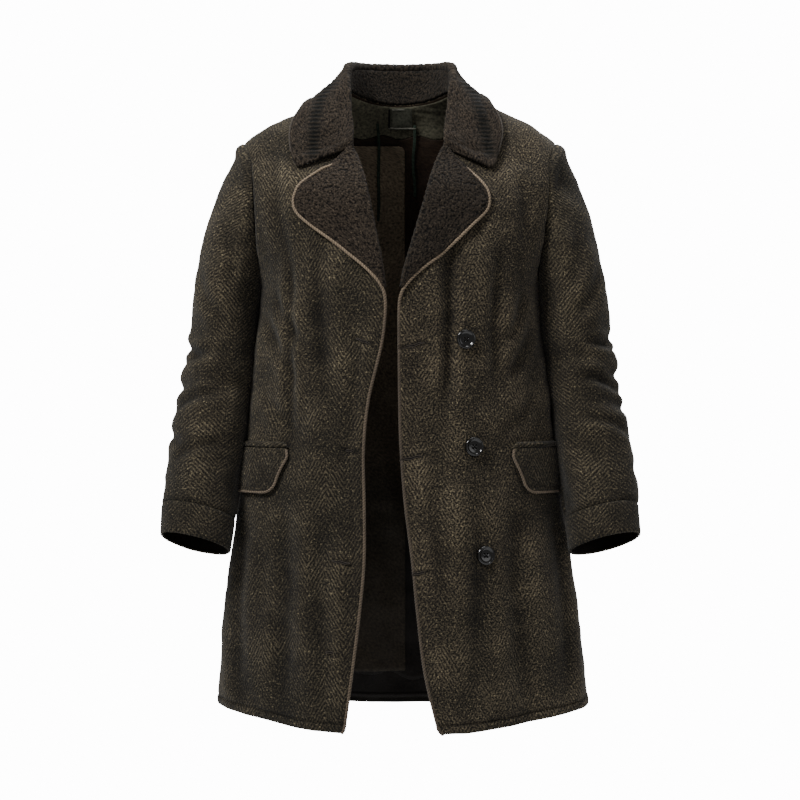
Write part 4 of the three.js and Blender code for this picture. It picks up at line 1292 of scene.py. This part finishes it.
def makeLapel(side):
    along = np.linspace(lapelStart, 1, 150)[:, None]
    across = np.concatenate([np.linspace(0, 1, 12)[:-1], np.linspace(1, 2, 74)])[None, :]
    along, across = np.broadcast_arrays(along, across)
    points, like = lapelPlace(side, along, across)
    u = runLength(points, 1) * side
    v = -points[..., 2]
    uv = np.stack([u, v], -1)
    crumbs = crumbRelief(u, v, 80 + side)
    swell = 0.9 * softNoise(u, v, 34, 83 + side) + 0.5 * softNoise(u, v, 14, 85 + side)
    points = points + like * (swell * smooth(across, 1, 1.2) * smooth(2 - across, 0, 0.1))[..., None]
    name = f"lapel_{hands[side]}"
    plump = 0.8 * smooth(across, 1, 1.15) * smooth(2 - across, 0, 0.06)
    piece, normals = woolSheet(
        f"{name}_wool", points, like, uv, crumbs, plump, name
    )
    lapelForms[side] = (points, normals)
    # painted shade: the wearer's left lapel a little darker than the right
    paint(piece.data, "bandShade", np.full(len(piece.data.vertices), 0.3 if side > 0 else 0.0))


for side in (-1, 1):
    makeLapel(side)
print("lapels made")


# The neck seam: along counts the collar's rows from the nape, below 0 on the wearer's right.
def neckSeam(along):
    side = np.where(along < 0, -1.0, 1.0)
    spot = np.abs(along)
    ring = cut["gorge"] * (np.maximum(spot - 3, 0) / 2) ** 1.3
    inset = 2 * cut["pipingRadius"] + seamGap
    opened = np.where(side > 0, openingTurn(1, ring, inset), openingTurn(-1, ring, inset))
    back = spot <= 3
    turn = np.where(back, side * (180 - 30 * spot), opened)
    return place(turn, np.where(back, 0, ring), np.full_like(ring, -wool / 2))


def throughPoints(points, count):
    first, last = 2 * points[0] - points[1], 2 * points[-1] - points[-2]
    chain = [first, *points, last]
    weights = np.linspace(0, 1, count, endpoint=False)[:, None, None]
    made = []
    for k in range(len(points) - 1):
        p0, p1, p2, p3 = chain[k : k + 4]
        steps = (p1 - p0, p2 - p1, p3 - p2)
        d0, d1, d2 = (np.maximum(np.linalg.norm(step, axis=-1)[..., None], 1e-6) ** 0.5 for step in steps)
        t1 = ((p1 - p0) / d0 - (p2 - p0) / (d0 + d1) + (p2 - p1) / d1) * d1
        t2 = ((p2 - p1) / d1 - (p3 - p1) / (d1 + d2) + (p3 - p2) / d2) * d1
        square, cube = 3 * (p2 - p1) - 2 * t1 - t2, 2 * (p1 - p2) + t1 + t2
        made.append(p1 + weights * (t1 + weights * (square + weights * cube)))
    return np.concatenate([*made, points[-1][None]])


collarRoll = 5
lineSteps = 14  # from one drawn point of a collar line to the next


# Lines of the collar from the neck seam over the fold to the edge, and the length at its top.
def collarLines(along, count):
    side = np.where(along < 0, -1.0, 1.0)
    last = len(collarRows["foldX"]) - 1
    row = rowAt(collarRows, np.abs(along))
    base, normal = neckSeam(along)
    run = neckSeam(np.minimum(along + 0.1, last))[0] - neckSeam(np.maximum(along - 0.1, -last))[0]
    base = base + unit(np.cross(run, normal)) * (7 * seamGap + doubled / 2)
    drawnIn = np.where(side > 0, 1 - 0.06 * smooth(np.abs(along), 3, last), 1)
    fold = np.stack([side * row["foldX"] * drawnIn, row["foldY"], row["foldZ"]], -1)
    spot = np.abs(along)
    slim = np.where(side > 0, 1 - 0.18 * smooth(spot, 1.5, 2.6) * smooth(4.4 - spot, 0, 1.2), 1)
    middle = place(side * row["midTurn"] * drawnIn, row["midRing"] * slim, row["midLift"])[0]
    edge = place(side * row["edgeTurn"] * drawnIn, row["edgeRing"] * slim, row["edgeLift"])[0]
    up = unit(fold - base)
    out = middle - fold
    out = unit(out - up * np.sum(out * up, axis=-1, keepdims=True))
    radius = np.minimum(collarRoll, 0.5 * np.linalg.norm(fold - base, axis=-1))[..., None]
    inside = fold - up * radius
    top, outside = fold + out * radius, inside + out * 2 * radius
    lines = throughPoints([base, (base + inside) / 2, inside, top, outside, middle, edge], lineSteps)
    length = runLength(lines)
    places = np.linspace(0, 1, count)
    even = np.empty((len(along), count, 3))
    for i in range(len(along)):
        for k in range(3):
            even[i, :, k] = np.interp(places * length[-1, i], length[:, i], lines[:, i, k])
    return even, length[3 * lineSteps], length[-1]


# The dark ribbed band on the collar's points, by its middle seen from the front, its half-width
# and the pitch of its ribs. Its darkness is painted shade of the crease where the leaf bends over the
# shoulder.
collarBand = {
    -1: table("x z", (-101, 22), (-117, -4), (-125, -38), (-127, -92)),
    1: table("x z", (98, 20), (112, 0), (121, -38), (131, -92)),
    "half": 9.5,
    "pitch": 6.4,
}
collarCorner = {"drawn": 0.075, "share": 0.16}
collarGroove = {"down": 12, "wide": 1.6, "deep": -2.2}  # below the rolled top edge of the stand
collarTop = {"down": 3, "wide": 6.5, "high": 2.6, "pitch": 9, "uneven": 0.12}  # that rolled edge
collarForm = {}


def smoothEnd(share, start):
    return np.clip((share - start) / (1 - start), 0, 1)


def makeCollar():
    last = len(collarRows["foldX"]) - 1
    along = np.linspace(-last, last, 330)
    count = 100
    points, topLength, whole = collarLines(along, count)
    share = np.linspace(0, 1, count)
    # rounds the two points of the leaf by drawing the ends in towards the edge
    drawn = collarCorner["drawn"] * (1 - np.sqrt(1 - smoothEnd(share, 1 - collarCorner["share"]) ** 2))
    for k in np.flatnonzero(drawn > 0):
        for axis in range(3):
            points[:, k, axis] = np.interp(along * (1 - drawn[k]), along, points[:, k, axis].copy())
    length = share[None, :] * whole[:, None]
    step = np.linalg.norm(np.diff(points[:, 30], axis=0), axis=-1)
    u = np.broadcast_to((np.concatenate([[0], np.cumsum(step)]) - step.sum() / 2)[:, None], length.shape)
    uv = np.stack([u, length], -1)
    like = gridNormals(points)
    if np.sum(like[100:230, 60:] * (points[100:230, 60:] * [1, 1, 0])) < 0:
        like = -like
    fromTop = length - topLength[:, None]
    nape = smooth(4.2 - np.abs(along)[:, None], 0, 1)
    groove = bump(fromTop + collarGroove["down"], collarGroove["wide"]) * nape
    roll = bump(fromTop + collarTop["down"], collarTop["wide"]) * nape
    wave = np.sin(u * 2 * math.pi / collarTop["pitch"] + 0.8 * softNoise(u, length, 16, 97))
    roll = roll * (1 + collarTop["uneven"] * wave)
    toEdge = np.minimum(length[:, -1:] - length, (last - np.abs(along))[:, None] * 60)
    leaf = smooth(fromTop, 4, 16)
    swell = 1.5 * softNoise(u, length, 36, 91) + 0.9 * softNoise(u, length, 15, 92)
    height = swell * leaf * smooth(toEdge, 0, 8) + collarTop["high"] * roll
    height = height + collarGroove["deep"] * groove * (fromTop < 0)
    points = points + like * height[..., None]
    crumbs = crumbRelief(u, length, 93)
    bandShade = np.zeros(crumbs.shape)
    z = points[..., 2]
    for side in (-1, 1):
        x = np.interp(-z, -collarBand[side]["z"], collarBand[side]["x"])
        inBand = bump(points[..., 0] - x, collarBand["half"]) * (points[..., 1] < 10) * (fromTop > 10)
        bandShade = np.maximum(bandShade, inBand * smooth(z, -104, -92) * smooth(40 - z, 0, 20))
    rib = 0.5 + 0.5 * np.sin(z * 2 * math.pi / collarBand["pitch"] + 0.5 * softNoise(u, length, 12, 95))
    crumbs = np.clip(mix(crumbs, 0.1 + 0.9 * rib, 0.85 * bandShade), 0, 1)
    plump = 1.3 * leaf * bump(toEdge - 7, 8) - 0.9 * bump(toEdge - 17, 3) * leaf
    piece, normals = woolSheet(
        "collar_wool", points, like, uv, crumbs, plump, "collar"
    )
    # painted shade: the band, darker between its ribs, the groove below the stand's rolled top edge, and the
    # stand itself
    shown = np.maximum(bandShade * (1 - 0.4 * rib), bump(fromTop + collarGroove["down"], 1.5) * nape)
    shown = np.maximum(shown, 0.4 * smooth(-fromTop, 0, 10))
    values = np.zeros(len(piece.data.vertices))
    values[: 2 * shown.size] = np.tile(shown.reshape(-1), 2)
    paint(piece.data, "bandShade", values)
    collarForm["points"], collarForm["normals"] = points, normals


makeCollar()
print("collar made")


def pipingCord(name, path, normals, radius, material, lay=5.5):
    piece = cordMesh(f"{name}_cord", path, normals, radius, material, lay=lay)
    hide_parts(name)


# Piping: along each front edge, over the break and round the lapel, and along the collar and flaps.
edgePiping = {"sunk": 0.5, "leave": 0.4, "arrive": 0.5, "step": 1.3, "rounds": 260, "reach": 26, "lay": 4.2}


def makeFrontPiping(side):
    radius = cut["pipingRadius"]
    outer, fresh = frontForms[side]
    keep = outer[:, 0, 2] < cut["breakZ"] - 2
    edge, inner, edgeNormals = outer[keep, 0][::-1], outer[keep, 3][::-1], fresh[keep, 1][::-1]
    distance = radius + seamGap - edgePiping["sunk"]
    low = pastEdge(edge, edgeNormals, inner, distance, -wool / 2)
    points, normals = lapelForms[side]
    turned = pastEdge(points[:, -1], normals[:, -2], points[:, -4], distance)
    start, end = low[-1], turned[0]
    far = np.linalg.norm(end - start)
    leave, arrive = unit(low[-1] - low[-4]), unit(turned[3] - turned[0])
    t = np.linspace(0, 1, 14)[1:-1, None]
    second = start + leave * edgePiping["leave"] * far
    between = bezier(start, second, end - arrive * edgePiping["arrive"] * far, end, t)
    turn, ring = bodyAt(between[:, 0], between[:, 2])
    between, betweenNormals = place(turn, ring, mix(-wool / 2, cut["lapelLift"], smooth(t[:, 0], 0, 0.5)))
    path = np.concatenate([low, between, turned])
    pathNormals = np.concatenate([edgeNormals, betweenNormals, normals[:, -2]])
    path, pathNormals = resample(path, pathNormals, edgePiping["step"])
    for _ in range(edgePiping["rounds"]):  # rounds the turn at the break
        middle = (path[:-2] + path[2:]) / 2
        near = bump(path[1:-1, 2:] - cut["breakZ"] - 4, edgePiping["reach"])
        path[1:-1] += 0.5 * near * (middle - path[1:-1])
    name = f"piping_{hands[side]}"
    pipingCord(name, path, pathNormals, radius + 0.1, pipingCords[side], edgePiping["lay"])


def makeCollarPiping():
    points, normals = collarForm["points"], collarForm["normals"]
    path = pastEdge(points[:, -1], normals[:, -2], points[:, -4], 1.2)
    path, pathNormals = resample(path, normals[:, -2], edgePiping["step"])
    pipingCord("piping_collar", path, pathNormals, 1.6, mutedCord)


for side in (-1, 1):
    makeFrontPiping(side)
makeCollarPiping()
print("piping made")

flap = {
    "front": 160,
    "top": -522,
    "high": 62,
    "slant": 22,
    "corner": 13,
    "rear": 87,  # degrees round from the front
    "lift": 2.2,
    "bottomLift": 4.5,
    "cord": 1.9,  # radius of its piping
}
welt = {"front": 170, "top": -512, "high": 9, "rear": 87}


def turnAtHeight(turn, z):
    low, high = np.zeros_like(z), np.full_like(z, cut["hem"])
    for _ in range(26):
        middle = (low + high) / 2
        above = bodyPoint(turn, middle)[..., 2] > z
        low, high = np.where(above, middle, low), np.where(above, high, middle)
    return low


def makeFlap(side):
    down = (1 - (1 - np.linspace(0, 1, 40)) ** 1.5)[:, None]
    z = flap["top"] - flap["high"] * down
    corner = flap["corner"] * (1 - np.sqrt(1 - np.clip((down - 0.78) / 0.22, 0, 1) ** 2))
    top = 5 * bump(down, 0.12)
    sweep = flap["slant"] * (0.75 * down + 0.25 * smooth(down, 0.1, 0.8))
    front = bodyAt(side * (flap["front"] + top + sweep + corner), z)[0]
    turn = mix(front, side * flap["rear"], np.linspace(0, 1, 50)[None, :])
    z = np.broadcast_to(z, turn.shape)
    ring = turnAtHeight(turn, z)
    lift = mix(flap["lift"], flap["bottomLift"], np.broadcast_to(down, turn.shape))
    points, normals = place(turn, ring, lift)
    u, v = clothAt(turn, ring)
    uv = np.stack([u + 11, v + 7], -1)
    height = 0.8 * softNoise(u, v, 26, 101 + side) + 0.5 * bump(down - 0.55, 0.35)
    height = height - 0.9 * bump(np.minimum((1 - down) * flap["high"], np.abs(u - u[:, :1])) - 5.5, 1.2)
    height = height + swellAt(turn, ring) + frontFolds(side, turn, ring) + 1.2
    points, fresh = raised(points, normals, height)
    half = doubled / 2
    name = f"flap_{hands[side]}"
    piece = clothShell(
        f"{name}_tweed", points + fresh * half, points - fresh * half, uv, [tweedFront, liningCloth], rim=0.3
    )
    declareCloth(piece, points, name)
    edge = np.concatenate([points[:, 0], points[-1, 1:]])
    inner = np.concatenate([points[:-1, 3], points[-4, 3:4], points[-4, 1:]])
    edgeNormals = np.concatenate([fresh[:, 1], fresh[-2, 1:]])
    path = pastEdge(edge, edgeNormals, inner, flap["cord"] - 0.2)
    path, pathNormals = resample(path, edgeNormals, 1.2)
    name = f"piping_flap_{hands[side]}"
    pipingCord(name, path, pathNormals, flap["cord"] + 0.1, flapCord, edgePiping["lay"])


def makeWelt(side):
    down = np.linspace(0, 1, 12)[:, None]
    z = welt["top"] - welt["high"] * down
    front = bodyAt(side * (welt["front"] - 8 * down), z)[0]
    turn = mix(front, side * welt["rear"], np.linspace(0, 1, 60)[None, :])
    ring = turnAtHeight(turn, np.broadcast_to(z, turn.shape))
    points, normals = place(turn, ring, np.full(turn.shape, seamGap))
    u, v = clothAt(turn, ring)
    uv = np.stack([v, u], -1)
    height = 1.6 + 4.2 * np.sin(math.pi * down) ** 0.7 + 0.35 * softNoise(u, v, 7, 111 + side)
    folds = frontFolds(side, turn, ring)
    height += swellAt(turn, ring) + folds
    outer = points + normals * height[..., None]
    name = f"welt_{hands[side]}"
    inner = outer - normals * (height - folds + 1)[..., None]
    piece = clothShell(f"{name}_tweed", outer, inner, uv, [tweedFront, liningCloth], rim=0.2)
    declareCloth(piece, outer, name)


for side in (-1, 1):
    makeFlap(side)
    makeWelt(side)
print("pockets made")


# The inside of the back: yoke, lining, the panel over it, the blank label and the two ribbons.
yokeRing = 1.5
yokeWaves = 0.07
liningDepth = wool + 4 * seamGap
overLining = liningDepth + silk + 2 * seamGap


def yokeEdge(turn):
    return yokeRing + yokeWaves * np.cos(np.radians((turn - 180) * 11))


def insideSheet(name, turn, ring, depth, height, material, node):
    points, normals = place(turn, ring, -depth + height + backFolds(turn, ring))
    u, v = clothAt(turn, ring)
    uv = np.stack([u, v], -1)
    fresh = facing(gridNormals(points), normals)
    piece = clothShell(name, points, points - fresh * silk, uv, [material])
    declareCloth(piece, points, node)


def makeYoke():
    t = np.linspace(0.012, 0.988, 110)[None, :]
    down = np.linspace(0, 1, 24)[:, None]
    wide = backTurn(np.full((1, 1), 1.0), t)
    ring = mix(0.06, yokeEdge(wide), down)
    turn = backTurn(ring, t)
    u, v = clothAt(turn, ring)
    height = 0.7 * softNoise(u, v, 22, 121)
    insideSheet("yoke_facing", turn, ring, liningDepth, height, facingCloth, "yoke")


liningFolds = {"depth": 2.2, "wide": 34}
liningEnd = 8.74


def liningHeight(u, v, seed):
    folds = liningFolds["depth"] * softNoise(u, v * 0.12, liningFolds["wide"], seed)
    return folds * smooth(v, 120, 260) + 0.8 * softNoise(u, v, 40, seed + 1)


def makeLining():
    t = np.linspace(0.012, 0.988, 120)[None, :]
    wide = backTurn(np.full((1, 1), 3.0), t)
    down = np.linspace(0, 1, 190)[:, None]
    end = liningEnd + 0.035 * np.sin(np.radians(wide * 7)) + 0.02 * np.sin(np.radians(wide * 17))
    ring = mix(yokeEdge(wide) + 0.03, end, down)
    turn = backTurn(ring, t)
    u, v = clothAt(turn, ring)
    height = liningHeight(u, v, 131)
    insideSheet("lining_back_satin", turn, ring, liningDepth, height, liningCloth, "lining_back")


liningPanel = {"right": -112, "left": 7, "top": -58, "corner": 9, "seam": -190}


def makePanel():
    lowest = bodyPoint(180, liningEnd - 0.05)[2]
    corner = liningPanel["corner"]
    straight = liningPanel["top"] - corner
    down = np.linspace(0, 1, 170)
    below = mix(straight, lowest, (down - 0.04) / 0.96)
    z = np.where(down < 0.04, liningPanel["top"] - corner * down / 0.04, below)
    short = np.maximum(z - straight, 0)
    rounded = corner - np.sqrt(np.maximum(corner**2 - short**2, 0))
    x = mix(liningPanel["right"], (liningPanel["left"] - rounded)[:, None], np.linspace(0, 1, 44)[None, :])
    turn, ring = bodyAt(x, np.broadcast_to(z[:, None], x.shape), True)
    u, v = clothAt(turn, ring)
    height = liningHeight(u, v, 131) - 0.9 * bump(z[:, None] - liningPanel["seam"], 2)
    name = "lining_panel"
    depth = overLining + 0.6
    insideSheet(
        f"{name}_satin", turn, ring, depth, height, panelCloth, name
    )


label = {"x": 2, "z": -17, "wide": 34, "high": 31}


def makeLabel():
    z = (label["z"] - label["high"] * np.linspace(-0.5, 0.5, 24))[:, None]
    x = (label["x"] + label["wide"] * np.linspace(-0.5, 0.5, 26))[None, :]
    turn, ring = bodyAt(*np.broadcast_arrays(x, z), True)
    edge = np.minimum(label["wide"] / 2 - np.abs(x - label["x"]), label["high"] / 2 - np.abs(z - label["z"]))
    bar = bump(z - (label["z"] - label["high"] / 2 + 1.5), 1.2)
    height = -1.4 + 0.5 * bump(edge - 1, 1.2) + 1.1 * bar
    insideSheet(
        "label_blank", turn, ring, overLining, height, labelCloth, "label"
    )
    left, right = label["x"] - label["wide"] / 2, label["x"] + label["wide"] / 2
    high, low = label["z"] + label["high"] / 2, label["z"] - label["high"] / 2
    for name, ends, radius, material in (
        ("label_top_thread", ((left + 2, high - 1.5), (right - 12, high - 1.5)), 0.9, labelThread),
        ("label_bar_thread", ((left - 3, low + 2), (right + 6, low + 2)), 1.4, labelThread),
        # painted shadow: a dark cord along the label's left edge, where its shadow falls
        ("label_side_shadow", ((left - 2, high), (left - 2, low + 2)), 1.3, darkThreadAndShade),
    ):
        t = np.linspace(0, 1, 24)
        turn, ring = bodyAt(mix(ends[0][0], ends[1][0], t), mix(ends[0][1], ends[1][1], t), True)
        folds = backFolds(turn[:, None], ring[:, None])[:, 0]
        path, normals = place(turn, ring, folds - overLining - 2.2)
        thread = cordMesh(name, path, normals, radius, material, sides=8, lay=3)


tape = {"half": 1.9, "clear": 3.4, "lift": 1.6}  # "clear" keeps it off the lining panel


def makeTape(name, x, top, end, bow):
    t = np.linspace(0, 1, 60)[:, None]
    z = mix(top, end, t)
    across = np.linspace(-tape["half"], tape["half"], 6)[None, :]
    wander = bow * np.sin(t * math.pi) + 0.9 * np.sin(t * 9)
    turn, ring = bodyAt(*np.broadcast_arrays(x + across + wander, z), True)
    clear = smooth(-z, 36, 52) * tape["clear"] if x < liningPanel["left"] else 0
    height = -clear - tape["lift"] - 1.4 * np.sin(t * 7) ** 2
    insideSheet(
        f"{name}_ribbon", turn, ring, overLining, height, tapeCloth, name
    )


makeYoke()
makeLining()
makePanel()
makeLabel()
makeTape("tape_right", -35, -24, -172, 2)
makeTape("tape_left", 23, -26, -134, -1.5)
print("inside made")


# Thread: a row of short stitches that lie in a path, joined into one mesh.
stitch = {"length": 3.6, "gap": 1.9, "radius": 0.55, "step": 0.6}


def stitchRow(name, path, normals):
    length, gap, radius, step = stitch.values()
    path, normals = resample(path, normals, step)
    ahead = unit(np.gradient(path, axis=0))
    aside = np.cross(ahead, normals)
    run = np.arange(len(path)) * step
    vertices, faces = [], []
    start = 1.0
    while start + length < run[-1]:
        k = [int(start / step), int((start + length / 2) / step), int((start + length) / step)]
        first = len(vertices)
        ends = [path[k[0]] - normals[k[0]] * radius, path[k[2]] - normals[k[2]] * radius]
        middle = path[k[1]] + normals[k[1]] * radius * 0.4
        wide, high = aside[k[1]] * radius, normals[k[1]] * radius
        ring = [middle + wide, middle + high, middle - wide, middle - high]
        vertices += [*ends, *ring]
        for a in range(4):
            b = (a + 1) % 4
            faces.append([first, first + 2 + a, first + 2 + b])
            faces.append([first + 1, first + 2 + b, first + 2 + a])
        start += length + gap
    mesh = bpy.data.meshes.new(name)
    mesh.from_pydata((np.array(vertices) * mm).tolist(), [], faces)
    mesh.uv_layers.new(name="cloth")
    mesh.materials.append(darkThreadAndShade)
    mesh.polygons.foreach_set("use_smooth", np.ones(len(faces), bool))
    made = linkObject(name, mesh)
    bpy.context.view_layer.objects.active = made
    made.select_set(True)
    bpy.ops.object.mode_set(mode="EDIT")
    bpy.ops.mesh.select_all(action="SELECT")
    bpy.ops.mesh.normals_make_consistent(inside=False)
    bpy.ops.object.mode_set(mode="OBJECT")
    made.select_set(False)
    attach(made, "root")


def hemPath(form):
    outer, fresh = form
    drop = np.linalg.norm(np.diff(outer, axis=0), axis=-1)
    fromEnd = np.cumsum(drop[::-1], axis=0)
    row = len(outer) - 2 - int(np.argmin(np.abs(fromEnd[:, outer.shape[1] // 2] - hemStitch)))
    return outer[row, 3:-1], fresh[row, 3:-1]


for name, form in (("back", backForm), ("front_right", frontForms[-1]), ("front_left", frontForms[1])):
    path, normals = hemPath(form)
    stitchRow(f"hem_stitches_{name}", path, normals)
print("stitching made")


slit = {"gape": 1.4, "lift": 1.6, "thick": 0.8, "rim": 0.55}


def makeButtonhole(index, side, x, z, length, slant):
    form = frontForms[int(side)][0]
    away = np.hypot(form[..., 0] - x, form[..., 2] - z)
    nearest = np.unravel_index(np.argmin(away), away.shape)
    level, normal = place(*bodyAt([x], [z]))
    lift = float(np.sum((form[nearest] - level[0]) * normal[0])) + slit["lift"]
    half = length / 2
    along = np.linspace(-0.95, 0.95, 24)[None, :]
    wave = 0.5 * np.sin(along * 7 + index)
    gape = slit["gape"] * np.sqrt(1 - along**2) * np.linspace(1, -1, 4)[:, None]
    turn, ring = bodyAt(x + along * half, z + slant * along * half + wave + gape)
    points, normals = place(turn, ring, lift - slit["lift"] * np.abs(along) ** 3)
    uv = np.stack(clothAt(turn, ring), -1)
    # painted shade: a dark sheet in each slit, where the opening lies in shade
    piece = clothShell(f"buttonhole_slit_shade_{index}", points, points - normals * slit["thick"], uv, [darkThreadAndShade])
    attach(piece, "root")
    for edge in (0, -1):
        path, pathNormals = resample(points[edge], normals[edge], 0.8)
        name = f"buttonhole_{index}_{'upper' if edge == 0 else 'lower'}"
        rim = cordMesh(name, path, pathNormals, slit["rim"], mutedCord, sides=8, lay=2.4, relief=0.35)


for index, values in enumerate(zip(*buttonholes.values())):
    makeButtonhole(index, *values)
print("buttonholes made")

button = {
    "radius": 13.8,
    "thick": 4.6,
    "holeRadius": 1.15,
    "holeOut": 2.3,
    # the turned face from its rim inwards: width and height of each step
    "face": ((0.9, 1.0), (0.9, 0.4), (0.9, -0.3), (1.0, -1.1), (1.8, -1.1), (3.0, -0.3)),
    "dish": 1.4,  # how far the thread lies below the top of the disc
    "bevel": 0.4,
    "shank": 0.6,  # gap to the cloth
    "thread": 0.55,
    "places": [("button_top", 94, -364), ("button_middle", 105, -518), ("button_low", 123, -674)],
}


def hornMaterial():
    material, tree, shader = newMaterial("dark horn", 0.13, Specular_IOR_Level=0.5)
    grain = {"Vector": objectSpot(tree)[0], "Scale": 260.0, "Detail": 4.0, "Distortion": 1.4}
    swirl = newNode(tree, "ShaderNodeTexNoise", grain).outputs[0]
    color = blendColors(tree, swirl, rgb(2, 2, 2), rgb(11, 8, 6))
    finish(tree, shader, color, swirl, 0.00008)
    return material


horn = hornMaterial()


# A turned button: a disc with a raised rim, a dished middle and four holes, then a cross of thread.
def makeButton(name, x, z):
    turn, ring = bodyAt([x], [z])
    folds = frontFolds(1, turn[:, None], ring[:, None])[:, 0]
    point, normal = (values[0] for values in place(turn, ring, folds))
    bpy.ops.object.select_all(action="DESELECT")
    bpy.ops.mesh.primitive_cylinder_add(vertices=64, radius=button["radius"] * mm, depth=button["thick"] * mm)
    piece = bpy.context.object
    piece.name = f"{name}_horn"
    bpy.ops.object.mode_set(mode="EDIT")
    bpy.ops.mesh.select_all(action="DESELECT")
    bpy.ops.object.mode_set(mode="OBJECT")
    for face in piece.data.polygons:
        face.select = face.normal.z > 0.9
    bpy.ops.object.mode_set(mode="EDIT")
    for wide, deep in button["face"]:
        bpy.ops.mesh.inset(thickness=wide * mm, depth=deep * mm)
    bpy.ops.object.mode_set(mode="OBJECT")
    for face in piece.data.polygons:
        face.select = False
    holes = []
    for sx in (-1, 1):
        for sy in (-1, 1):
            bpy.ops.mesh.primitive_cylinder_add(
                vertices=20, radius=button["holeRadius"] * mm, depth=4 * button["thick"] * mm,
                location=(sx * button["holeOut"] * mm, sy * button["holeOut"] * mm, 0),
            )
            holes.append(bpy.context.object)
    for hole in holes:
        modifier = piece.modifiers.new("hole", "BOOLEAN")
        modifier.object, modifier.operation, modifier.solver = hole, "DIFFERENCE", "EXACT"
        bpy.context.view_layer.objects.active = piece
        bpy.ops.object.modifier_apply(modifier=modifier.name)
    for hole in holes:
        bpy.data.objects.remove(hole, do_unlink=True)
    bpy.ops.object.select_all(action="DESELECT")
    piece.select_set(True)
    bpy.context.view_layer.objects.active = piece
    bevel = piece.modifiers.new("edge", "BEVEL")
    bevel.width, bevel.segments = button["bevel"] * mm, 3
    bevel.limit_method, bevel.angle_limit = "ANGLE", 0.35
    bpy.ops.object.modifier_apply(modifier="edge")
    bpy.ops.object.shade_smooth_by_angle(angle=0.7)
    piece.rotation_euler = Vector(normal).to_track_quat("Z", "Y").to_euler()
    piece.location = Vector((point + normal * (button["thick"] / 2 + button["shank"])) * mm)
    bpy.ops.object.transform_apply(location=True, rotation=True, scale=True)
    piece.data.materials.append(horn)
    piece.select_set(False)
    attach(piece, "root")
    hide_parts(name)
    across = unit(np.cross([0, 0, 1.0], normal))
    up = np.cross(normal, across)
    for k, (sx, sy) in enumerate(((1, 1), (1, -1))):
        t = np.linspace(-1, 1, 16)[:, None]
        out = button["holeOut"] * t
        lift = button["thick"] + 0.1 - button["dish"] + 0.9 * (1 - t**2) + 0.3 * k - 1.2 * t**8
        path = point + across * out * sx + up * out * sy + normal * lift
        sideways = np.repeat(normal[None], len(path), 0)
        cross = cordMesh(
            f"{name}_thread_{k}", path, sideways, button["thread"], darkThreadAndShade, sides=8, lay=2.0
        )


for name, x, z in button["places"]:
    makeButton(name, x, z)
print("buttons made")


# A pale floor below the coat that fades into the pale surroundings, and soft light from the upper left.
stage = {"floor": -1400, "reach": 1800, "fade": (0.9, 1.75), "pale": 0.82, "surround": 14, "ambient": 0.34}


def makeStage():
    bpy.ops.mesh.primitive_circle_add(
        vertices=96, radius=stage["reach"] * mm, fill_type="NGON", location=(0, 0, stage["floor"] * mm)
    )
    floor = bpy.context.object
    floor.name = "floor"
    bpy.ops.object.transform_apply(location=True)
    floor.select_set(False)
    material, tree, shader = newMaterial("pale floor", 0.9)
    shader.inputs["Base Color"].default_value = (stage["pale"],) * 3 + (1,)
    squares = [calc(tree, "POWER", part, 2.0) for part in objectSpot(tree)[1][:2]]
    across = calc(tree, "SQRT", calc(tree, "ADD", *squares))
    near, far = stage["fade"]
    reach = {0: across, 1: near, 2: far, 3: 1.0, 4: 0.0}
    fade = newNode(tree, "ShaderNodeMapRange", reach, interpolation_type="SMOOTHSTEP").outputs[0]
    tree.links.new(fade, shader.inputs["Alpha"])
    floor.data.materials.append(material)
    world = bpy.data.worlds.new("studio")
    bpy.context.scene.world = world
    world.use_nodes = True
    tree = world.node_tree
    seen = tree.nodes["Background"]
    seen.inputs[1].default_value = stage["surround"]
    felt = newNode(tree, "ShaderNodeBackground", {0: (1, 1, 1, 1), 1: stage["ambient"]})
    seen.inputs[0].default_value = (1, 1, 1, 1)
    ray = newNode(tree, "ShaderNodeLightPath")
    parts = {0: ray.outputs["Is Camera Ray"], 1: felt.outputs[0], 2: seen.outputs[0]}
    both = newNode(tree, "ShaderNodeMixShader", parts)
    tree.links.new(both.outputs[0], tree.nodes["World Output"].inputs[0])


lights = {
    "key": {"at": (-2.0, -1.9, 2.1), "size": 1.0, "power": 160},
    "fill": {"at": (2.6, -1.8, 0.6), "size": 2.0, "power": 24},
    "top": {"at": (0.1, 0.2, 2.5), "size": 1.6, "power": 60},
    "rear": {"at": (1.2, 2.8, 1.6), "size": 2.4, "power": 70},
}


def makeLights():
    for name, values in lights.items():
        data = bpy.data.lights.new(name, "AREA")
        data.size, data.energy = values["size"], values["power"]
        lamp = linkObject(name, data)
        lamp.location = values["at"]
        aim = Vector((0, 0, -0.45)) - Vector(values["at"])
        lamp.rotation_euler = aim.to_track_quat("-Z", "Y").to_euler()


camera = {"distance": 3200, "height": -451, "lens": 96, "sensor": 36}


def makeCamera():
    data = bpy.data.cameras.new("camera")
    data.lens, data.sensor_width = camera["lens"], camera["sensor"]
    eye = linkObject("camera", data)
    eye.location = (0, -camera["distance"] * mm, camera["height"] * mm)
    eye.rotation_euler = (math.pi / 2, 0, 0)
    data.clip_end = 60
    bpy.context.scene.camera = eye


makeStage()
makeLights()
makeCamera()
print("stage made")
